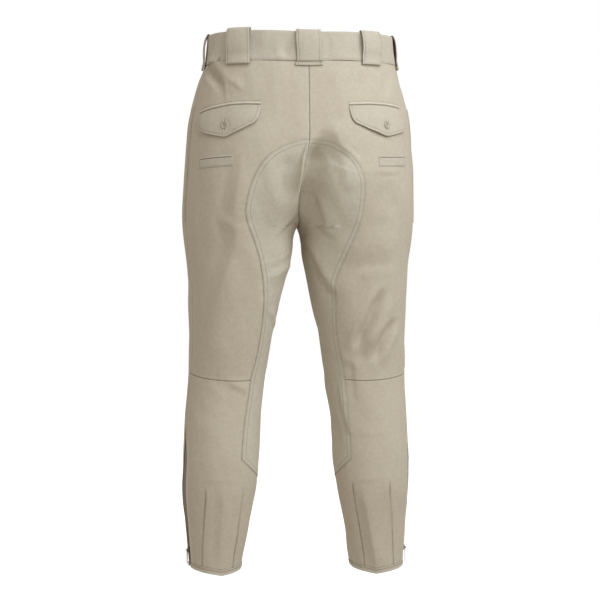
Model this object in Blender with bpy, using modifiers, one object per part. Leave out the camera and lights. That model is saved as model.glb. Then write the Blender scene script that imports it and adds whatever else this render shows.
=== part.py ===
# Motorcycle breeches in tan twill, filled out as worn. The wearer's front faces -Y and their
# left side is +X. The origin is the centre of the waist opening, halfway up the waistband.

import math
from functools import lru_cache

import bmesh
import bpy
import numpy as np
from mathutils import Matrix, Vector

MM = 0.001

# Cloth, seams and trim
SEAM_GAP = 0.3 * MM
CLOTH = 1.2 * MM
PATCH_LIFT = 0.3 * MM
PATCH_THICKNESS = 1.0 * MM
TRIM_LIFT = 0.5 * MM
TRIM_THICKNESS = 1.0 * MM
JET_THICKNESS = 2.2 * MM

# Waistband
BAND_TOP = 25.5 * MM
BAND_FOOT = -25.5 * MM
BAND_PROUD = 0.8 * MM
BAND_THICKNESS = 2.2 * MM
LAP_LIFT = 1.2 * MM
LAP_THICKNESS = 1.6 * MM
LAP_REACH = 38 * MM
LAP_START = 10 * MM

# Grid of each leg
FRONT_COLUMNS = 10
BACK_COLUMNS = 12
OVAL_POWER = 2.2
CENTRE_GAP = 0.15 * MM

# Seams across the leg
KNEE_SEAM = -557
HEM_SEAM = -884
HEM_EDGE = -892
HEM_PROUD = 0.6 * MM
HEM_THICKNESS = 2.2 * MM

# Stance: both legs lean toward the wearer's left below the hips
LEAN_HEIGHTS = (-910 * MM, -560 * MM, -190 * MM)
LEAN = (7 * MM, 5.6 * MM, 0.0)

# Side seam: its turn round the oval from the front, in degrees. It swings a little forward to the hem.
SEAM_COLUMNS = ("height", "turn")
SIDE_SEAM = (
    (-910, 96),
    (-850, 97),
    (-800, 98),
    (-750, 100),
    (-700, 102),
    (26, 102),
)

# Height in mm over which the crotch closes: beyond the plain width at these heights, the
# width that the crotch adds is taken up near the inner edge
CROTCH_TOP = -243
CROTCH_FOOT = -350
INNER_EASE = 5

# Oval of a leg in mm: centre from the middle plane, half width, depth before and behind,
# and how far the middle of the oval sits behind the middle of the waist
FORM_COLUMNS = ("height", "centre", "half_width", "before", "behind", "setback")
FORM = (
    (26, 0, 159, 121, 117, 0),
    (-26, 0, 165, 124, 121, 0),
    (-60, 4, 174, 127, 128, 0),
    (-116, 16, 176, 126, 137, 0),
    (-165, 34, 162.5, 124, 143, 0),
    (-221, 62, 137.5, 120, 140, 0),
    (-256, 80, 120.4, 116, 133, 0),
    (-305, 100.15, 100, 108, 120, 0),
    (-361, 102.4, 91.9, 100, 108, 0),
    (-431, 108, 82.7, 93, 97, 0),
    (-501, 115, 73.9, 86, 86, 0),
    (-571, 120.3, 68.7, 80, 74, 2),
    (-641, 128.2, 66, 70, 74, 8),
    (-711, 131.7, 66, 64, 74, 14),
    (-746, 133.4, 65.2, 61, 71, 17),
    (-816, 137, 56.4, 54, 59, 20),
    (-893, 141, 46, 48, 49, 22),
    (-910, 142, 45, 47, 48, 22),
)

# Rows of the leg grid in mm, and how far the back of each row dips below its height
ROW_COLUMNS = ("height", "dip")
ROWS = (
    (-25.8, 0),
    (-45, 0),
    (-68, 0),
    (-92, 0),
    (-118, 0),
    (-144, 0),
    (-170, 0),
    (-196, 0),
    (-221, 0),
    (-243, 0),
    (-263, 0),
    (-281, 0),
    (-295, 0),
    (-305, 0),
    (-325, 0),
    (-350, 0),
    (-385, 0),
    (-425, 2),
    (-470, 5),
    (-515, 9),
    (KNEE_SEAM, 13),
    (-600, 11),
    (-645, 8),
    (-690, 6),
    (-735, 5),
    (-775, 6),
    (-812, 9.5),
    (-850, 10),
    (HEM_SEAM, 12),
)
KNEE_ROW = 20

# Largest folds and swells in mm. Side 1 is the wearer's left, -1 the right. The place across
# is a share of the panel, 0 at the side seam and 1 at the inner edge; lean is in degrees.
FOLD_COLUMNS = ("side", "panel", "across", "height", "length", "width", "lean", "rise")
FOLDS = (
    (-1, "back", 0.90, -232, 60, 20, 18, -7),
    (1, "back", 0.90, -240, 50, 18, -16, -4),
    (1, "back", 0.22, -58, 34, 16, 52, -3.5),
    (-1, "back", 0.48, -336, 62, 24, -24, 4),
    (-1, "back", 0.40, -470, 90, 26, -14, 3),
    (1, "back", 0.52, -430, 95, 30, 8, 3),
    (1, "back", 0.55, -585, 20, 60, 0, -4),
    (-1, "back", 0.55, -590, 20, 60, 0, -4),
    (1, "back", 0.45, -820, 75, 16, -2, 3),
    (-1, "back", 0.54, -820, 75, 16, 2, 3),
    (1, "front", 0.50, -540, 46, 52, 0, 5),
    (-1, "front", 0.50, -540, 46, 52, 0, 5),
    (1, "front", 0.80, -262, 50, 20, -30, -5),
    (-1, "front", 0.80, -256, 56, 20, 30, -5),
    (1, "front", 0.48, -700, 120, 20, 0, 3),
    (-1, "front", 0.48, -700, 120, 20, 0, 3),
)

# Reinforcement patch in mm: how far it reaches from the middle plane at each height
PATCH_COLUMNS = ("height", "left", "right")
PATCH = (
    (-158, 0, 0),
    (-160, 24, 26),
    (-173, 48, 48),
    (-190, 71, 67),
    (-209, 84, 83),
    (-229, 94, 93),
    (-254, 101, 98),
    (-280, 103, 98),
    (-300, 99, 94),
    (-320, 91, 87),
    (-350, 79, 73),
    (-390, 70, 58),
    (-440, 66, 60),
    (-500, 72, 65),
    (-560, 84, 76),
    (-620, 93, 85),
    (-660, 99, 88),
    (-703, 103, 90),
    (-718, 88, 78),
    (-740, 66, 62),
)

# Hip pocket flaps in mm: distance round from the centre back, upper and lower edge
FLAP_COLUMNS = ("from_back", "top", "bottom")
LEFT_FLAP = (
    (80, -103, -124),
    (86, -103, -132),
    (112, -102, -143),
    (143, -104, -155),
    (172, -108, -148),
    (198, -113, -142),
    (205, -114, -134),
)
RIGHT_FLAP = (
    (70, -104, -124),
    (76, -104, -131),
    (108, -102, -141),
    (141, -102, -151),
    (168, -103, -145),
    (190, -105, -139),
    (197, -106, -132),
)
JET_HEIGHT = 5 * MM
JET_SPACE = 0.5 * MM

# Small welt pockets below the flaps in mm, also measured round from the centre back
WELT_COLUMNS = ("from_back", "top", "bottom")
LEFT_WELT = (
    (132, -188, -202),
    (155, -189, -203),
    (178, -190, -204),
    (201, -191, -206),
)
RIGHT_WELT = (
    (126, -188, -202),
    (147, -187, -201),
    (168, -186, -200),
    (189, -185, -199),
)
WELT_THICKNESS = 1.4 * MM

# Side pocket welt in mm: height, and its two edges measured forward from the side seam
POCKET_COLUMNS = ("height", "near", "far")
SIDE_POCKET = (
    (-98, 3, 24),
    (-140, 3, 25),
    (-185, 3, 26),
    (-225, 3, 26),
    (-262, 3, 25),
    (-296, 3, 22),
)

# Fly front in mm: distance from the centre front, and its lower edge there
FLY_COLUMNS = ("from_front", "bottom")
FLY = (
    (1, -205),
    (12, -203),
    (24, -190),
    (34, -164),
    (38, -130),
)
FLY_TOP = -27

# Belt loops in mm: distance round from the centre back, plus toward the wearer's left
LOOP_WIDTH = 44 * MM
LOOP_THICKNESS = 1.2 * MM
LOOPS = {
    "loop_back_centre": 0,
    "loop_back_left": 118,
    "loop_back_right": -120,
    "loop_side_left": 232,
    "loop_side_right": -212,
    "loop_front_left": 336,
    "loop_front_right": -336,
}
# Path of a loop in mm: lift from the cloth's own surface, and height
LOOP_PATH_COLUMNS = ("lift", "height")
LOOP_PATH = (
    (1.7, -34),
    (2.3, -24),
    (5.2, -18),
    (8.8, -9),
    (10.2, 3),
    (9.6, 14),
    (6.8, 22.5),
    (2.4, 27.4),
    (-1.2, 27.6),
    (-3.0, 25),
    (-3.2, 16),
)

# Buttons
FLAP_BUTTON_RADIUS = 7 * MM
WAIST_BUTTON_RADIUS = 8.5 * MM
BUTTON_THICKNESS = 2.6 * MM
BUTTON_SHANK = 0.6 * MM
FLAP_BUTTONS = {1: (144 * MM, -135 * MM), -1: (140 * MM, -133 * MM)}

# Calf zip in mm: half the window between the panels at each height
ZIP_COLUMNS = ("height", "window")
ZIP = (
    (-910, 7),
    (-850, 8),
    (-812, 9.5),
    (-775, 11),
    (-735, 11),
    (-690, 7),
    (-660, 2),
    (-645, 0),
    (-600, 0),
)
ZIP_TOP = -650 * MM
TAPE_HALF_WIDTH = 15 * MM
TAPE_DEPTH = 2.4 * MM
TAPE_THICKNESS = 1.0 * MM
SLIDER_HEIGHT = -862 * MM
SLIDER_SIZE = (9 * MM, 2.6 * MM, 11 * MM)
SLIDER_LIFT = -0.45 * MM
CROWN_INNER = 1.2 * MM
CROWN_OUTER = 2.1 * MM
CROWN_WIDTH = 1.6 * MM
PULL_WIDTH = 6.6 * MM
PULL_LENGTH = 25 * MM
PULL_THICKNESS = 1.0 * MM
PULL_BAR = 0.6 * MM
PULL_WINDOW = (3.2 * MM, 5.5 * MM)

LEFT = 1
RIGHT = -1
SIDE_NAMES = {LEFT: "left", RIGHT: "right"}


def column(table, names, name):
    place = names.index(name)
    return [row[place] for row in table]


def clear_scene():
    for obj in list(bpy.data.objects):
        bpy.data.objects.remove(obj, do_unlink=True)


def new_collection(name, hidden=False):
    collection = bpy.data.collections.new(name)
    bpy.context.scene.collection.children.link(collection)
    collection.hide_render = hidden
    return collection


def new_material(name, colour, roughness, metallic):
    made = bpy.data.materials.new(name)
    made.use_nodes = True
    shader = made.node_tree.nodes["Principled BSDF"]
    shader.inputs["Base Color"].default_value = (*colour, 1.0)
    shader.inputs["Roughness"].default_value = roughness
    shader.inputs["Metallic"].default_value = metallic
    made.diffuse_color = (*colour, 1.0)
    return made


# The form of the worn cloth


@lru_cache(maxsize=None)
def form_at(height):
    """Oval of the leg at a height, eased through the rows of the form table."""
    heights = np.array(column(FORM, FORM_COLUMNS, "height")[::-1], float) * MM
    values = np.array([row[1:] for row in FORM][::-1], float) * MM
    height = min(max(height, heights[0]), heights[-1])
    slopes = np.gradient(values, heights, axis=0, edge_order=1)
    low = int(min(max(np.searchsorted(heights, height) - 1, 0), len(heights) - 2))
    span = heights[low + 1] - heights[low]
    t = (height - heights[low]) / span
    start = (2 * t**3 - 3 * t**2 + 1) * values[low] + (t**3 - 2 * t**2 + t) * span * slopes[low]
    end = (3 * t**2 - 2 * t**3) * values[low + 1] + (t**3 - t**2) * span * slopes[low + 1]
    return start + end


def lean_at(height):
    return float(np.interp(height, LEAN_HEIGHTS, LEAN))


def seam_turn(height):
    heights = [row[0] * MM for row in SIDE_SEAM]
    return math.radians(float(np.interp(height, heights, [row[1] for row in SIDE_SEAM])))


def first_turn(height):
    """Turn round the oval at which it meets the middle plane, or the inseam below the crotch."""
    centre, half_width = form_at(height)[:2]
    reach = max(centre - CENTRE_GAP, 0) / half_width
    return math.asin(min(1, reach) ** (OVAL_POWER / 2))


def signed_power(value):
    return np.sign(value) * np.abs(value) ** (2 / OVAL_POWER)


@lru_cache(maxsize=None)
def half_section(panel, height):
    """Outline of one panel from the side seam to its inner edge, with the distance along it."""
    centre, half_width, before, behind, setback = form_at(height)
    inner = first_turn(height)
    end = -inner if panel == "front" else math.pi + inner
    turns = np.linspace(seam_turn(height), end, 161)
    depth = np.where(np.cos(turns) > 0, before, behind)
    x = np.maximum(centre + half_width * signed_power(np.sin(turns)), CENTRE_GAP)
    y = setback - depth * signed_power(np.cos(turns))
    run = np.concatenate([[0], np.cumsum(np.hypot(np.diff(x), np.diff(y)))])
    return x, y, run


def panel_width(panel, height):
    return float(half_section(panel, round(height, 7))[2][-1])


def run_across(panel, across, height):
    """Distance from the side seam at a share of the panel."""
    width = panel_width(panel, height)
    if not CROTCH_FOOT * MM < height < CROTCH_TOP * MM:
        return across * width
    high = panel_width(panel, CROTCH_TOP * MM)
    low = panel_width(panel, CROTCH_FOOT * MM)
    share = (CROTCH_TOP * MM - height) / ((CROTCH_TOP - CROTCH_FOOT) * MM)
    plain = min(high + (low - high) * share, width)
    return across * plain + (width - plain) * across**INNER_EASE


def plain_point(side, panel, across, height):
    """Point of the cloth before folds, at a share of the panel from its side seam."""
    x, y, run = half_section(panel, round(height, 7))
    distance = run_across(panel, across, height)
    px = float(np.interp(distance, run, x))
    py = float(np.interp(distance, run, y))
    return Vector((side * px + lean_at(height), py, height))


def outward(side, panel, across, height):
    """Unit normal of the cloth, away from the body."""
    step = 0.004
    rise = 3 * MM
    low = max(across - step, 0)
    high = min(across + step, 1)
    along = plain_point(side, panel, high, height) - plain_point(side, panel, low, height)
    up = plain_point(side, panel, across, height + rise) - plain_point(side, panel, across, height - rise)
    normal = along.cross(up) if panel == "back" else up.cross(along)
    return (normal * side).normalized()


def fold_rise(side, panel, across, height):
    """Sum of the folds at a point, as a rise along the normal."""
    total = 0
    for row in FOLDS:
        fold = dict(zip(FOLD_COLUMNS, row))
        if fold["side"] != side or fold["panel"] != panel:
            continue
        round_it = (across - fold["across"]) * panel_width(panel, height) / MM
        up = height / MM - fold["height"]
        turn = math.radians(fold["lean"])
        along = up * math.cos(turn) + round_it * math.sin(turn)
        beside = round_it * math.cos(turn) - up * math.sin(turn)
        total += fold["rise"] * math.exp(-((along / fold["length"]) ** 2) - (beside / fold["width"]) ** 2)
    fade = min(1, across / 0.08) * min(1, (1 - across) / 0.06)
    return total * fade * MM


def cloth_point(side, panel, across, height, lift=0):
    """Point of the cloth, moved out by lift."""
    normal = outward(side, panel, across, height)
    rise = fold_rise(side, panel, across, height) + lift
    return plain_point(side, panel, across, height) + normal * rise


def back_point(side, distance, height, lift=0):
    """Point of the back panel at a distance round from the centre back or inseam."""
    across = 1 - distance / panel_width("back", height)
    return cloth_point(side, "back", across, height, lift)


def front_point(side, distance, height, lift=0):
    """Point of the front panel at a distance round from the centre front or inseam."""
    across = 1 - distance / panel_width("front", height)
    return cloth_point(side, "front", across, height, lift)


def waist_point(distance, height, lift=0):
    """Point of the waist at a signed distance round from the centre back, plus to the left."""
    side = LEFT if distance >= 0 else RIGHT
    size = abs(distance)
    level = min(max(height, BAND_FOOT - 10 * MM), BAND_TOP)
    back = panel_width("back", level)
    if size <= back:
        point = plain_point(side, "back", 1 - size / back, level)
        normal = outward(side, "back", 1 - size / back, level)
    else:
        across = (size - back) / panel_width("front", level)
        point = plain_point(side, "front", across, level)
        normal = outward(side, "front", across, level)
    flat = Vector((normal.x, normal.y, 0)).normalized()
    return Vector((point.x, point.y, height)) + flat * lift


def waist_front_point(place, height, lift=0):
    """Point of the waist at a signed distance from the centre front, plus to the left."""
    side = LEFT if place >= 0 else RIGHT
    across = 1 - abs(place) / panel_width("front", height)
    point = plain_point(side, "front", across, height)
    return point + outward(side, "front", across, height) * lift


# Meshes


def grid_object(name, points, collection, material, side=LEFT):
    """Open sheet through a table of points, its rows running down and its faces outward."""
    rows = len(points)
    columns = len(points[0])
    work = bmesh.new()
    bmesh.ops.create_grid(work, x_segments=columns - 1, y_segments=rows - 1, size=1)
    work.verts.ensure_lookup_table()
    for index, vertex in enumerate(work.verts):
        vertex.co = points[index // columns][index % columns]
    bmesh.ops.triangulate(work, faces=work.faces, quad_method="FIXED")
    if side == LEFT:
        bmesh.ops.reverse_faces(work, faces=work.faces)
    mesh = bpy.data.meshes.new(name)
    work.to_mesh(mesh)
    work.free()
    mesh.materials.append(material)
    mesh.shade_smooth()
    obj = bpy.data.objects.new(name, mesh)
    collection.objects.link(obj)
    return obj


def solidify(obj, thickness, offset):
    """Wall of a thickness, inward for offset -1 and outward for offset 1."""
    wall = obj.modifiers.new("Wall", "SOLIDIFY")
    wall.thickness = thickness
    wall.offset = offset
    wall.use_even_offset = False
    return obj


def prism(name, outline, collection):
    """Closed solid between two matching outlines."""
    near = [Vector(point) for point, _ in outline]
    far = [Vector(point) for _, point in outline]
    work = bmesh.new()
    first = [work.verts.new(point) for point in near]
    second = [work.verts.new(point) for point in far]
    work.faces.new(first)
    work.faces.new(second)
    count = len(outline)
    for index in range(count):
        after = (index + 1) % count
        work.faces.new((first[index], first[after], second[after], second[index]))
    bmesh.ops.recalc_face_normals(work, faces=work.faces)
    mesh = bpy.data.meshes.new(name)
    work.to_mesh(mesh)
    work.free()
    obj = bpy.data.objects.new(name, mesh)
    collection.objects.link(obj)
    return obj


def hide_cutter(obj):
    obj.hide_render = True
    obj.display_type = "WIRE"
    return obj


def leg_points(side):
    """Rows of points round a leg, from the front's inner edge by the side seam to the back's."""
    points = []
    for row in ROWS:
        height = row[0] * MM
        dip = row[1] * MM
        line = []
        for place in range(FRONT_COLUMNS):
            across = 1 - place / FRONT_COLUMNS
            line.append(cloth_point(side, "front", across, height))
        for place in range(BACK_COLUMNS + 1):
            across = place / BACK_COLUMNS
            level = height - dip * math.sin(math.pi * across)
            line.append(cloth_point(side, "back", across, level))
        points.append(line)
    return points


def copy_points(points, rows, columns):
    return [[points[row][place].copy() for place in columns] for row in rows]


def draw_in(points, edges):
    """Moves the named edges of a sheet inward by half a seam gap, along the cloth."""
    half = SEAM_GAP / 2
    if "left" in edges:
        for line in points:
            line[0] = line[0] + (line[1] - line[0]).normalized() * half
    if "right" in edges:
        for line in points:
            line[-1] = line[-1] + (line[-2] - line[-1]).normalized() * half
    if "top" in edges:
        for place in range(len(points[0])):
            way = (points[1][place] - points[0][place]).normalized()
            points[0][place] = points[0][place] + way * half
    if "bottom" in edges:
        for place in range(len(points[0])):
            way = (points[-2][place] - points[-1][place]).normalized()
            points[-1][place] = points[-1][place] + way * half
    return points


def zip_window(height):
    heights = [row[0] * MM for row in ZIP]
    return float(np.interp(height, heights, [row[1] * MM for row in ZIP]))


def open_for_zip(points, edge):
    """Draws the side-seam edge of a calf panel back from the zip."""
    for line in points:
        end, beside = (line[0], line[1]) if edge == "left" else (line[-1], line[-2])
        moved = end + (beside - end).normalized() * zip_window(end.z)
        if edge == "left":
            line[0] = moved
        else:
            line[-1] = moved
    return points


def make_front(side, points, collection, material):
    rows = range(len(ROWS))
    sheet = copy_points(points, rows, range(FRONT_COLUMNS + 1))
    draw_in(sheet, ("left", "right", "bottom"))
    open_for_zip(sheet, "right")
    obj = grid_object("front_" + SIDE_NAMES[side], sheet, collection, material, side)
    return solidify(obj, CLOTH, -1)


def make_back(side, points, collection, material):
    columns = range(FRONT_COLUMNS, FRONT_COLUMNS + BACK_COLUMNS + 1)
    upper = copy_points(points, range(KNEE_ROW + 1), columns)
    draw_in(upper, ("left", "right", "bottom"))
    above = grid_object("back_upper_" + SIDE_NAMES[side], upper, collection, material, side)
    solidify(above, CLOTH, -1)
    lower = copy_points(points, range(KNEE_ROW, len(ROWS)), columns)
    draw_in(lower, ("left", "right", "top", "bottom"))
    open_for_zip(lower, "left")
    below = grid_object("back_lower_" + SIDE_NAMES[side], lower, collection, material, side)
    solidify(below, CLOTH, -1)


def make_hem(side, collection, material):
    """Turned band round the foot of a leg, from one edge of the zip to the other."""
    sheet = []
    for height in (HEM_SEAM * MM - SEAM_GAP, HEM_EDGE * MM):
        dip = ROWS[-1][1] * MM
        line = []
        for place in range(FRONT_COLUMNS, -1, -1):
            across = place / FRONT_COLUMNS
            line.append(cloth_point(side, "front", 1 - across, height, HEM_PROUD))
        for place in range(BACK_COLUMNS - 1, -1, -1):
            across = place / BACK_COLUMNS
            level = height - dip * math.sin(math.pi * across)
            line.append(cloth_point(side, "back", across, level, HEM_PROUD))
        sheet.append(line)
    open_for_zip(sheet, "left")
    open_for_zip(sheet, "right")
    other = RIGHT if side == LEFT else LEFT
    obj = grid_object("hem_" + SIDE_NAMES[side], sheet, collection, material, other)
    return solidify(obj, HEM_THICKNESS, -1)


def make_patch(side, points, collection, cutters, material):
    """Seat and inner-leg patch: the back's own points moved out, cut to its outline."""
    sheet = []
    for row in range(4, 26):
        height = ROWS[row][0] * MM
        dip = ROWS[row][1] * MM
        line = []
        for place in range(3, BACK_COLUMNS + 1):
            across = place / BACK_COLUMNS
            level = height - dip * math.sin(math.pi * across)
            normal = outward(side, "back", across, level)
            base = points[row][FRONT_COLUMNS + place]
            line.append(base + normal * PATCH_LIFT)
        sheet.append(line)
    draw_in(sheet, ("right",))
    obj = grid_object("seat_patch_" + SIDE_NAMES[side], sheet, collection, material, side)
    solidify(obj, PATCH_THICKNESS, 1)
    reach = column(PATCH, PATCH_COLUMNS, SIDE_NAMES[side])
    heights = column(PATCH, PATCH_COLUMNS, "height")
    outline = []
    for height, size in list(zip(heights, reach))[1:]:
        outline.append((lean_at(height * MM) + side * size * MM, height * MM))
    for height in (-740, -560, -190, -158):
        outline.append((lean_at(height * MM) + side * CENTRE_GAP, height * MM))
    ends = []
    for x, z in outline:
        ends.append(((x, -60 * MM, z), (x, 260 * MM, z)))
    cutter = hide_cutter(prism("patch_outline_" + SIDE_NAMES[side], ends, cutters))
    cut = obj.modifiers.new("Outline", "BOOLEAN")
    cut.operation = "INTERSECT"
    cut.solver = "EXACT"
    cut.object = cutter
    return obj


def make_trim(name, side, lines, collection, material, thickness):
    """Small sheet that lies on a panel, made from the panel's own points moved out."""
    obj = grid_object(name, lines, collection, material, side)
    return solidify(obj, thickness, 1)


def denser(table, step):
    """Rows of a trim table with more put between them, none further apart than step."""
    filled = [table[0]]
    for start, end in zip(table, table[1:]):
        parts = math.ceil((end[0] - start[0]) / step)
        for part in range(1, parts + 1):
            share = part / parts
            filled.append(tuple(a + (b - a) * share for a, b in zip(start, end)))
    return filled


def between(table, rows):
    """Rows of (distance, height) pairs between the upper and lower edges of a trim table."""
    lines = []
    for place in range(rows + 1):
        share = place / rows
        lines.append([(far, top + (bottom - top) * share) for far, top, bottom in denser(table, 13)])
    return lines


def make_flap(side, collection, material):
    table = LEFT_FLAP if side == LEFT else RIGHT_FLAP
    lines = []
    for line in between(table, 3):
        lines.append([back_point(side, far * MM, height * MM, TRIM_LIFT) for far, height in line[::-1]])
    name = "hip_flap_" + SIDE_NAMES[side]
    return make_trim(name, side, lines, collection, material, TRIM_THICKNESS)


def make_jet(side, collection, material):
    """Rolled welt along the upper edge of a hip pocket flap."""
    table = LEFT_FLAP if side == LEFT else RIGHT_FLAP
    lines = []
    for rise in (JET_SPACE + JET_HEIGHT, JET_SPACE + JET_HEIGHT / 2, JET_SPACE):
        line = []
        for far, top, _ in denser(table, 13)[::-1]:
            line.append(back_point(side, far * MM, top * MM + rise, TRIM_LIFT))
        lines.append(line)
    name = "hip_jet_" + SIDE_NAMES[side]
    return make_trim(name, side, lines, collection, material, JET_THICKNESS)


def make_welt(side, collection, material):
    table = LEFT_WELT if side == LEFT else RIGHT_WELT
    lines = []
    for line in between(table, 1):
        lines.append([back_point(side, far * MM, height * MM, TRIM_LIFT) for far, height in line[::-1]])
    name = "lower_welt_" + SIDE_NAMES[side]
    return make_trim(name, side, lines, collection, material, WELT_THICKNESS)


def make_side_pocket(side, collection, material):
    lines = []
    for height, near, far in SIDE_POCKET:
        level = height * MM
        width = panel_width("front", level)
        places = [far, (near + far) / 2, near]
        lines.append([cloth_point(side, "front", size * MM / width, level, TRIM_LIFT) for size in places])
    name = "side_pocket_" + SIDE_NAMES[side]
    return make_trim(name, side, lines, collection, material, TRIM_THICKNESS)


def make_fly(collection, material):
    rows = 8
    lines = []
    for place in range(rows + 1):
        line = []
        for far, bottom in FLY:
            height = FLY_TOP + (bottom - FLY_TOP) * place / rows
            line.append(front_point(LEFT, far * MM, height * MM, TRIM_LIFT))
        lines.append(line)
    return make_trim("fly_front", LEFT, lines, collection, material, TRIM_THICKNESS)


def make_waistband(side, collection, material):
    """Half of the waistband. The left half laps over the right one at the front."""
    heights = (BAND_TOP, 8.5 * MM, -8.5 * MM, BAND_FOOT)
    sheet = []
    for height in heights:
        line = []
        for place in range(FRONT_COLUMNS + 1):
            across = 1 - place / FRONT_COLUMNS
            line.append(plain_point(side, "front", across, height))
        for place in range(1, BACK_COLUMNS + 1):
            line.append(plain_point(side, "back", place / BACK_COLUMNS, height))
        normals = [outward(side, "front", 1 - place / FRONT_COLUMNS, height) for place in range(FRONT_COLUMNS)]
        normals += [outward(side, "back", place / BACK_COLUMNS, height) for place in range(BACK_COLUMNS + 1)]
        line = [point + normal * BAND_PROUD for point, normal in zip(line, normals)]
        sheet.append(line)
    draw_in(sheet, ("left", "right"))
    name = "waistband_" + SIDE_NAMES[side]
    obj = grid_object(name, sheet, collection, material, side)
    return solidify(obj, BAND_THICKNESS, -1)


def make_waist_lap(collection, material):
    """Tab that closes the waistband: it lies on both halves across the centre front."""
    lines = []
    for height in (BAND_TOP - 1 * MM, 0, BAND_FOOT + 1 * MM):
        line = []
        for place in (-LAP_REACH, -LAP_REACH / 2, 0, LAP_START, 2 * LAP_START):
            line.append(waist_front_point(place, height, BAND_PROUD + TRIM_LIFT))
        lines.append(line)
    return make_trim("waist_lap", LEFT, lines, collection, material, LAP_THICKNESS)


def make_loop(name, centre, collection, material):
    """Belt loop: stitched below the band, standing off it, and turned in over its top."""
    lines = []
    steps = 3
    for lift, height in LOOP_PATH[::-1]:
        line = []
        for place in range(steps + 1):
            distance = centre * MM + LOOP_WIDTH * (0.5 - place / steps)
            line.append(waist_point(distance, height * MM, lift * MM))
        lines.append(line)
    obj = grid_object(name, lines, collection, material, LEFT)
    return solidify(obj, LOOP_THICKNESS, 0)


def frame_at(point, normal):
    """Placing matrix: X along the cloth, Y out of it, Z up along it."""
    out = normal.normalized()
    along = out.cross(Vector((0, 0, 1))).normalized()
    up = along.cross(out)
    turn = Matrix((along, out, up)).transposed().to_4x4()
    return Matrix.Translation(point) @ turn


def make_button(name, point, normal, radius, collection, material):
    """Four-hole style disc with a softened rim, its axis along the normal."""
    work = bmesh.new()
    bmesh.ops.create_cone(
        work,
        cap_ends=True,
        segments=20,
        radius1=radius,
        radius2=radius,
        depth=BUTTON_THICKNESS,
    )
    bmesh.ops.rotate(work, verts=work.verts, matrix=Matrix.Rotation(math.pi / 2, 3, "X"))
    mesh = bpy.data.meshes.new(name)
    work.to_mesh(mesh)
    work.free()
    mesh.materials.append(material)
    obj = bpy.data.objects.new(name, mesh)
    collection.objects.link(obj)
    obj.matrix_world = frame_at(point, normal)
    bevel = obj.modifiers.new("Rim", "BEVEL")
    bevel.width = 0.7 * MM
    bevel.segments = 1
    return obj


def make_tape(side, collection, material):
    """Zip tape behind the window between the calf panels."""
    heights = [ZIP_TOP] + [row[0] * MM for row in ROWS if ZIP_TOP > row[0] * MM]
    heights.append(HEM_EDGE * MM)
    lines = []
    for height in heights:
        seam = cloth_point(side, "back", 0, height)
        before = cloth_point(side, "front", 1 / FRONT_COLUMNS, height) - seam
        behind = cloth_point(side, "back", 1 / BACK_COLUMNS, height) - seam
        inward = outward(side, "back", 0.004, height) * -TAPE_DEPTH
        first = seam + before.normalized() * TAPE_HALF_WIDTH + inward
        last = seam + behind.normalized() * TAPE_HALF_WIDTH + inward
        lines.append([first, seam + inward, last])
    obj = grid_object("zip_tape_" + SIDE_NAMES[side], lines, collection, material, side)
    return solidify(obj, TAPE_THICKNESS, -1)


def slider_frame(side):
    point = cloth_point(side, "back", 0, SLIDER_HEIGHT)
    normal = outward(side, "back", 0.004, SLIDER_HEIGHT)
    return point, normal


def make_slider(side, collection, cutters, material):
    """Zip slider with the crown that holds its pull."""
    name = "zip_slider_" + SIDE_NAMES[side]
    point, normal = slider_frame(side)
    place = frame_at(point + normal * SLIDER_LIFT, normal)
    work = bmesh.new()
    bmesh.ops.create_cube(work, size=1)
    bmesh.ops.scale(work, vec=SLIDER_SIZE, verts=work.verts)
    mesh = bpy.data.meshes.new(name)
    work.to_mesh(mesh)
    work.free()
    mesh.materials.append(material)
    obj = bpy.data.objects.new(name, mesh)
    collection.objects.link(obj)
    obj.matrix_world = place
    soft = obj.modifiers.new("Soft edges", "BEVEL")
    soft.width = 0.8 * MM
    soft.segments = 1
    centre = SLIDER_SIZE[1] / 2 + CROWN_INNER
    arch = []
    for radius, order in ((CROWN_OUTER, range(9)), (CROWN_INNER, range(8, -1, -1))):
        if radius == CROWN_OUTER:
            arch.append((centre - CROWN_INNER - 0.5 * MM, -radius))
        for step in order:
            turn = -math.pi / 2 + math.pi * step / 8
            arch.append((centre + radius * math.cos(turn), radius * math.sin(turn)))
        if radius == CROWN_OUTER:
            arch.append((centre - CROWN_INNER - 0.5 * MM, radius))
            arch.append((centre - CROWN_INNER - 0.5 * MM, CROWN_INNER))
        else:
            arch.append((centre - CROWN_INNER - 0.5 * MM, -CROWN_INNER))
    half = CROWN_WIDTH / 2
    ends = [((-half, y, z), (half, y, z)) for y, z in arch]
    crown = hide_cutter(prism("crown_" + SIDE_NAMES[side], ends, cutters))
    crown.matrix_world = place
    join = obj.modifiers.new("Crown", "BOOLEAN")
    join.operation = "UNION"
    join.solver = "EXACT"
    join.object = crown
    return obj


def pull_axis(side):
    """Point and direction of the pull's hinge: level, along the cloth."""
    point, normal = slider_frame(side)
    reach = SLIDER_LIFT + SLIDER_SIZE[1] / 2 + CROWN_INNER
    flat = Vector((normal.x, normal.y, 0)).normalized()
    return point + normal * reach, flat


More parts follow.
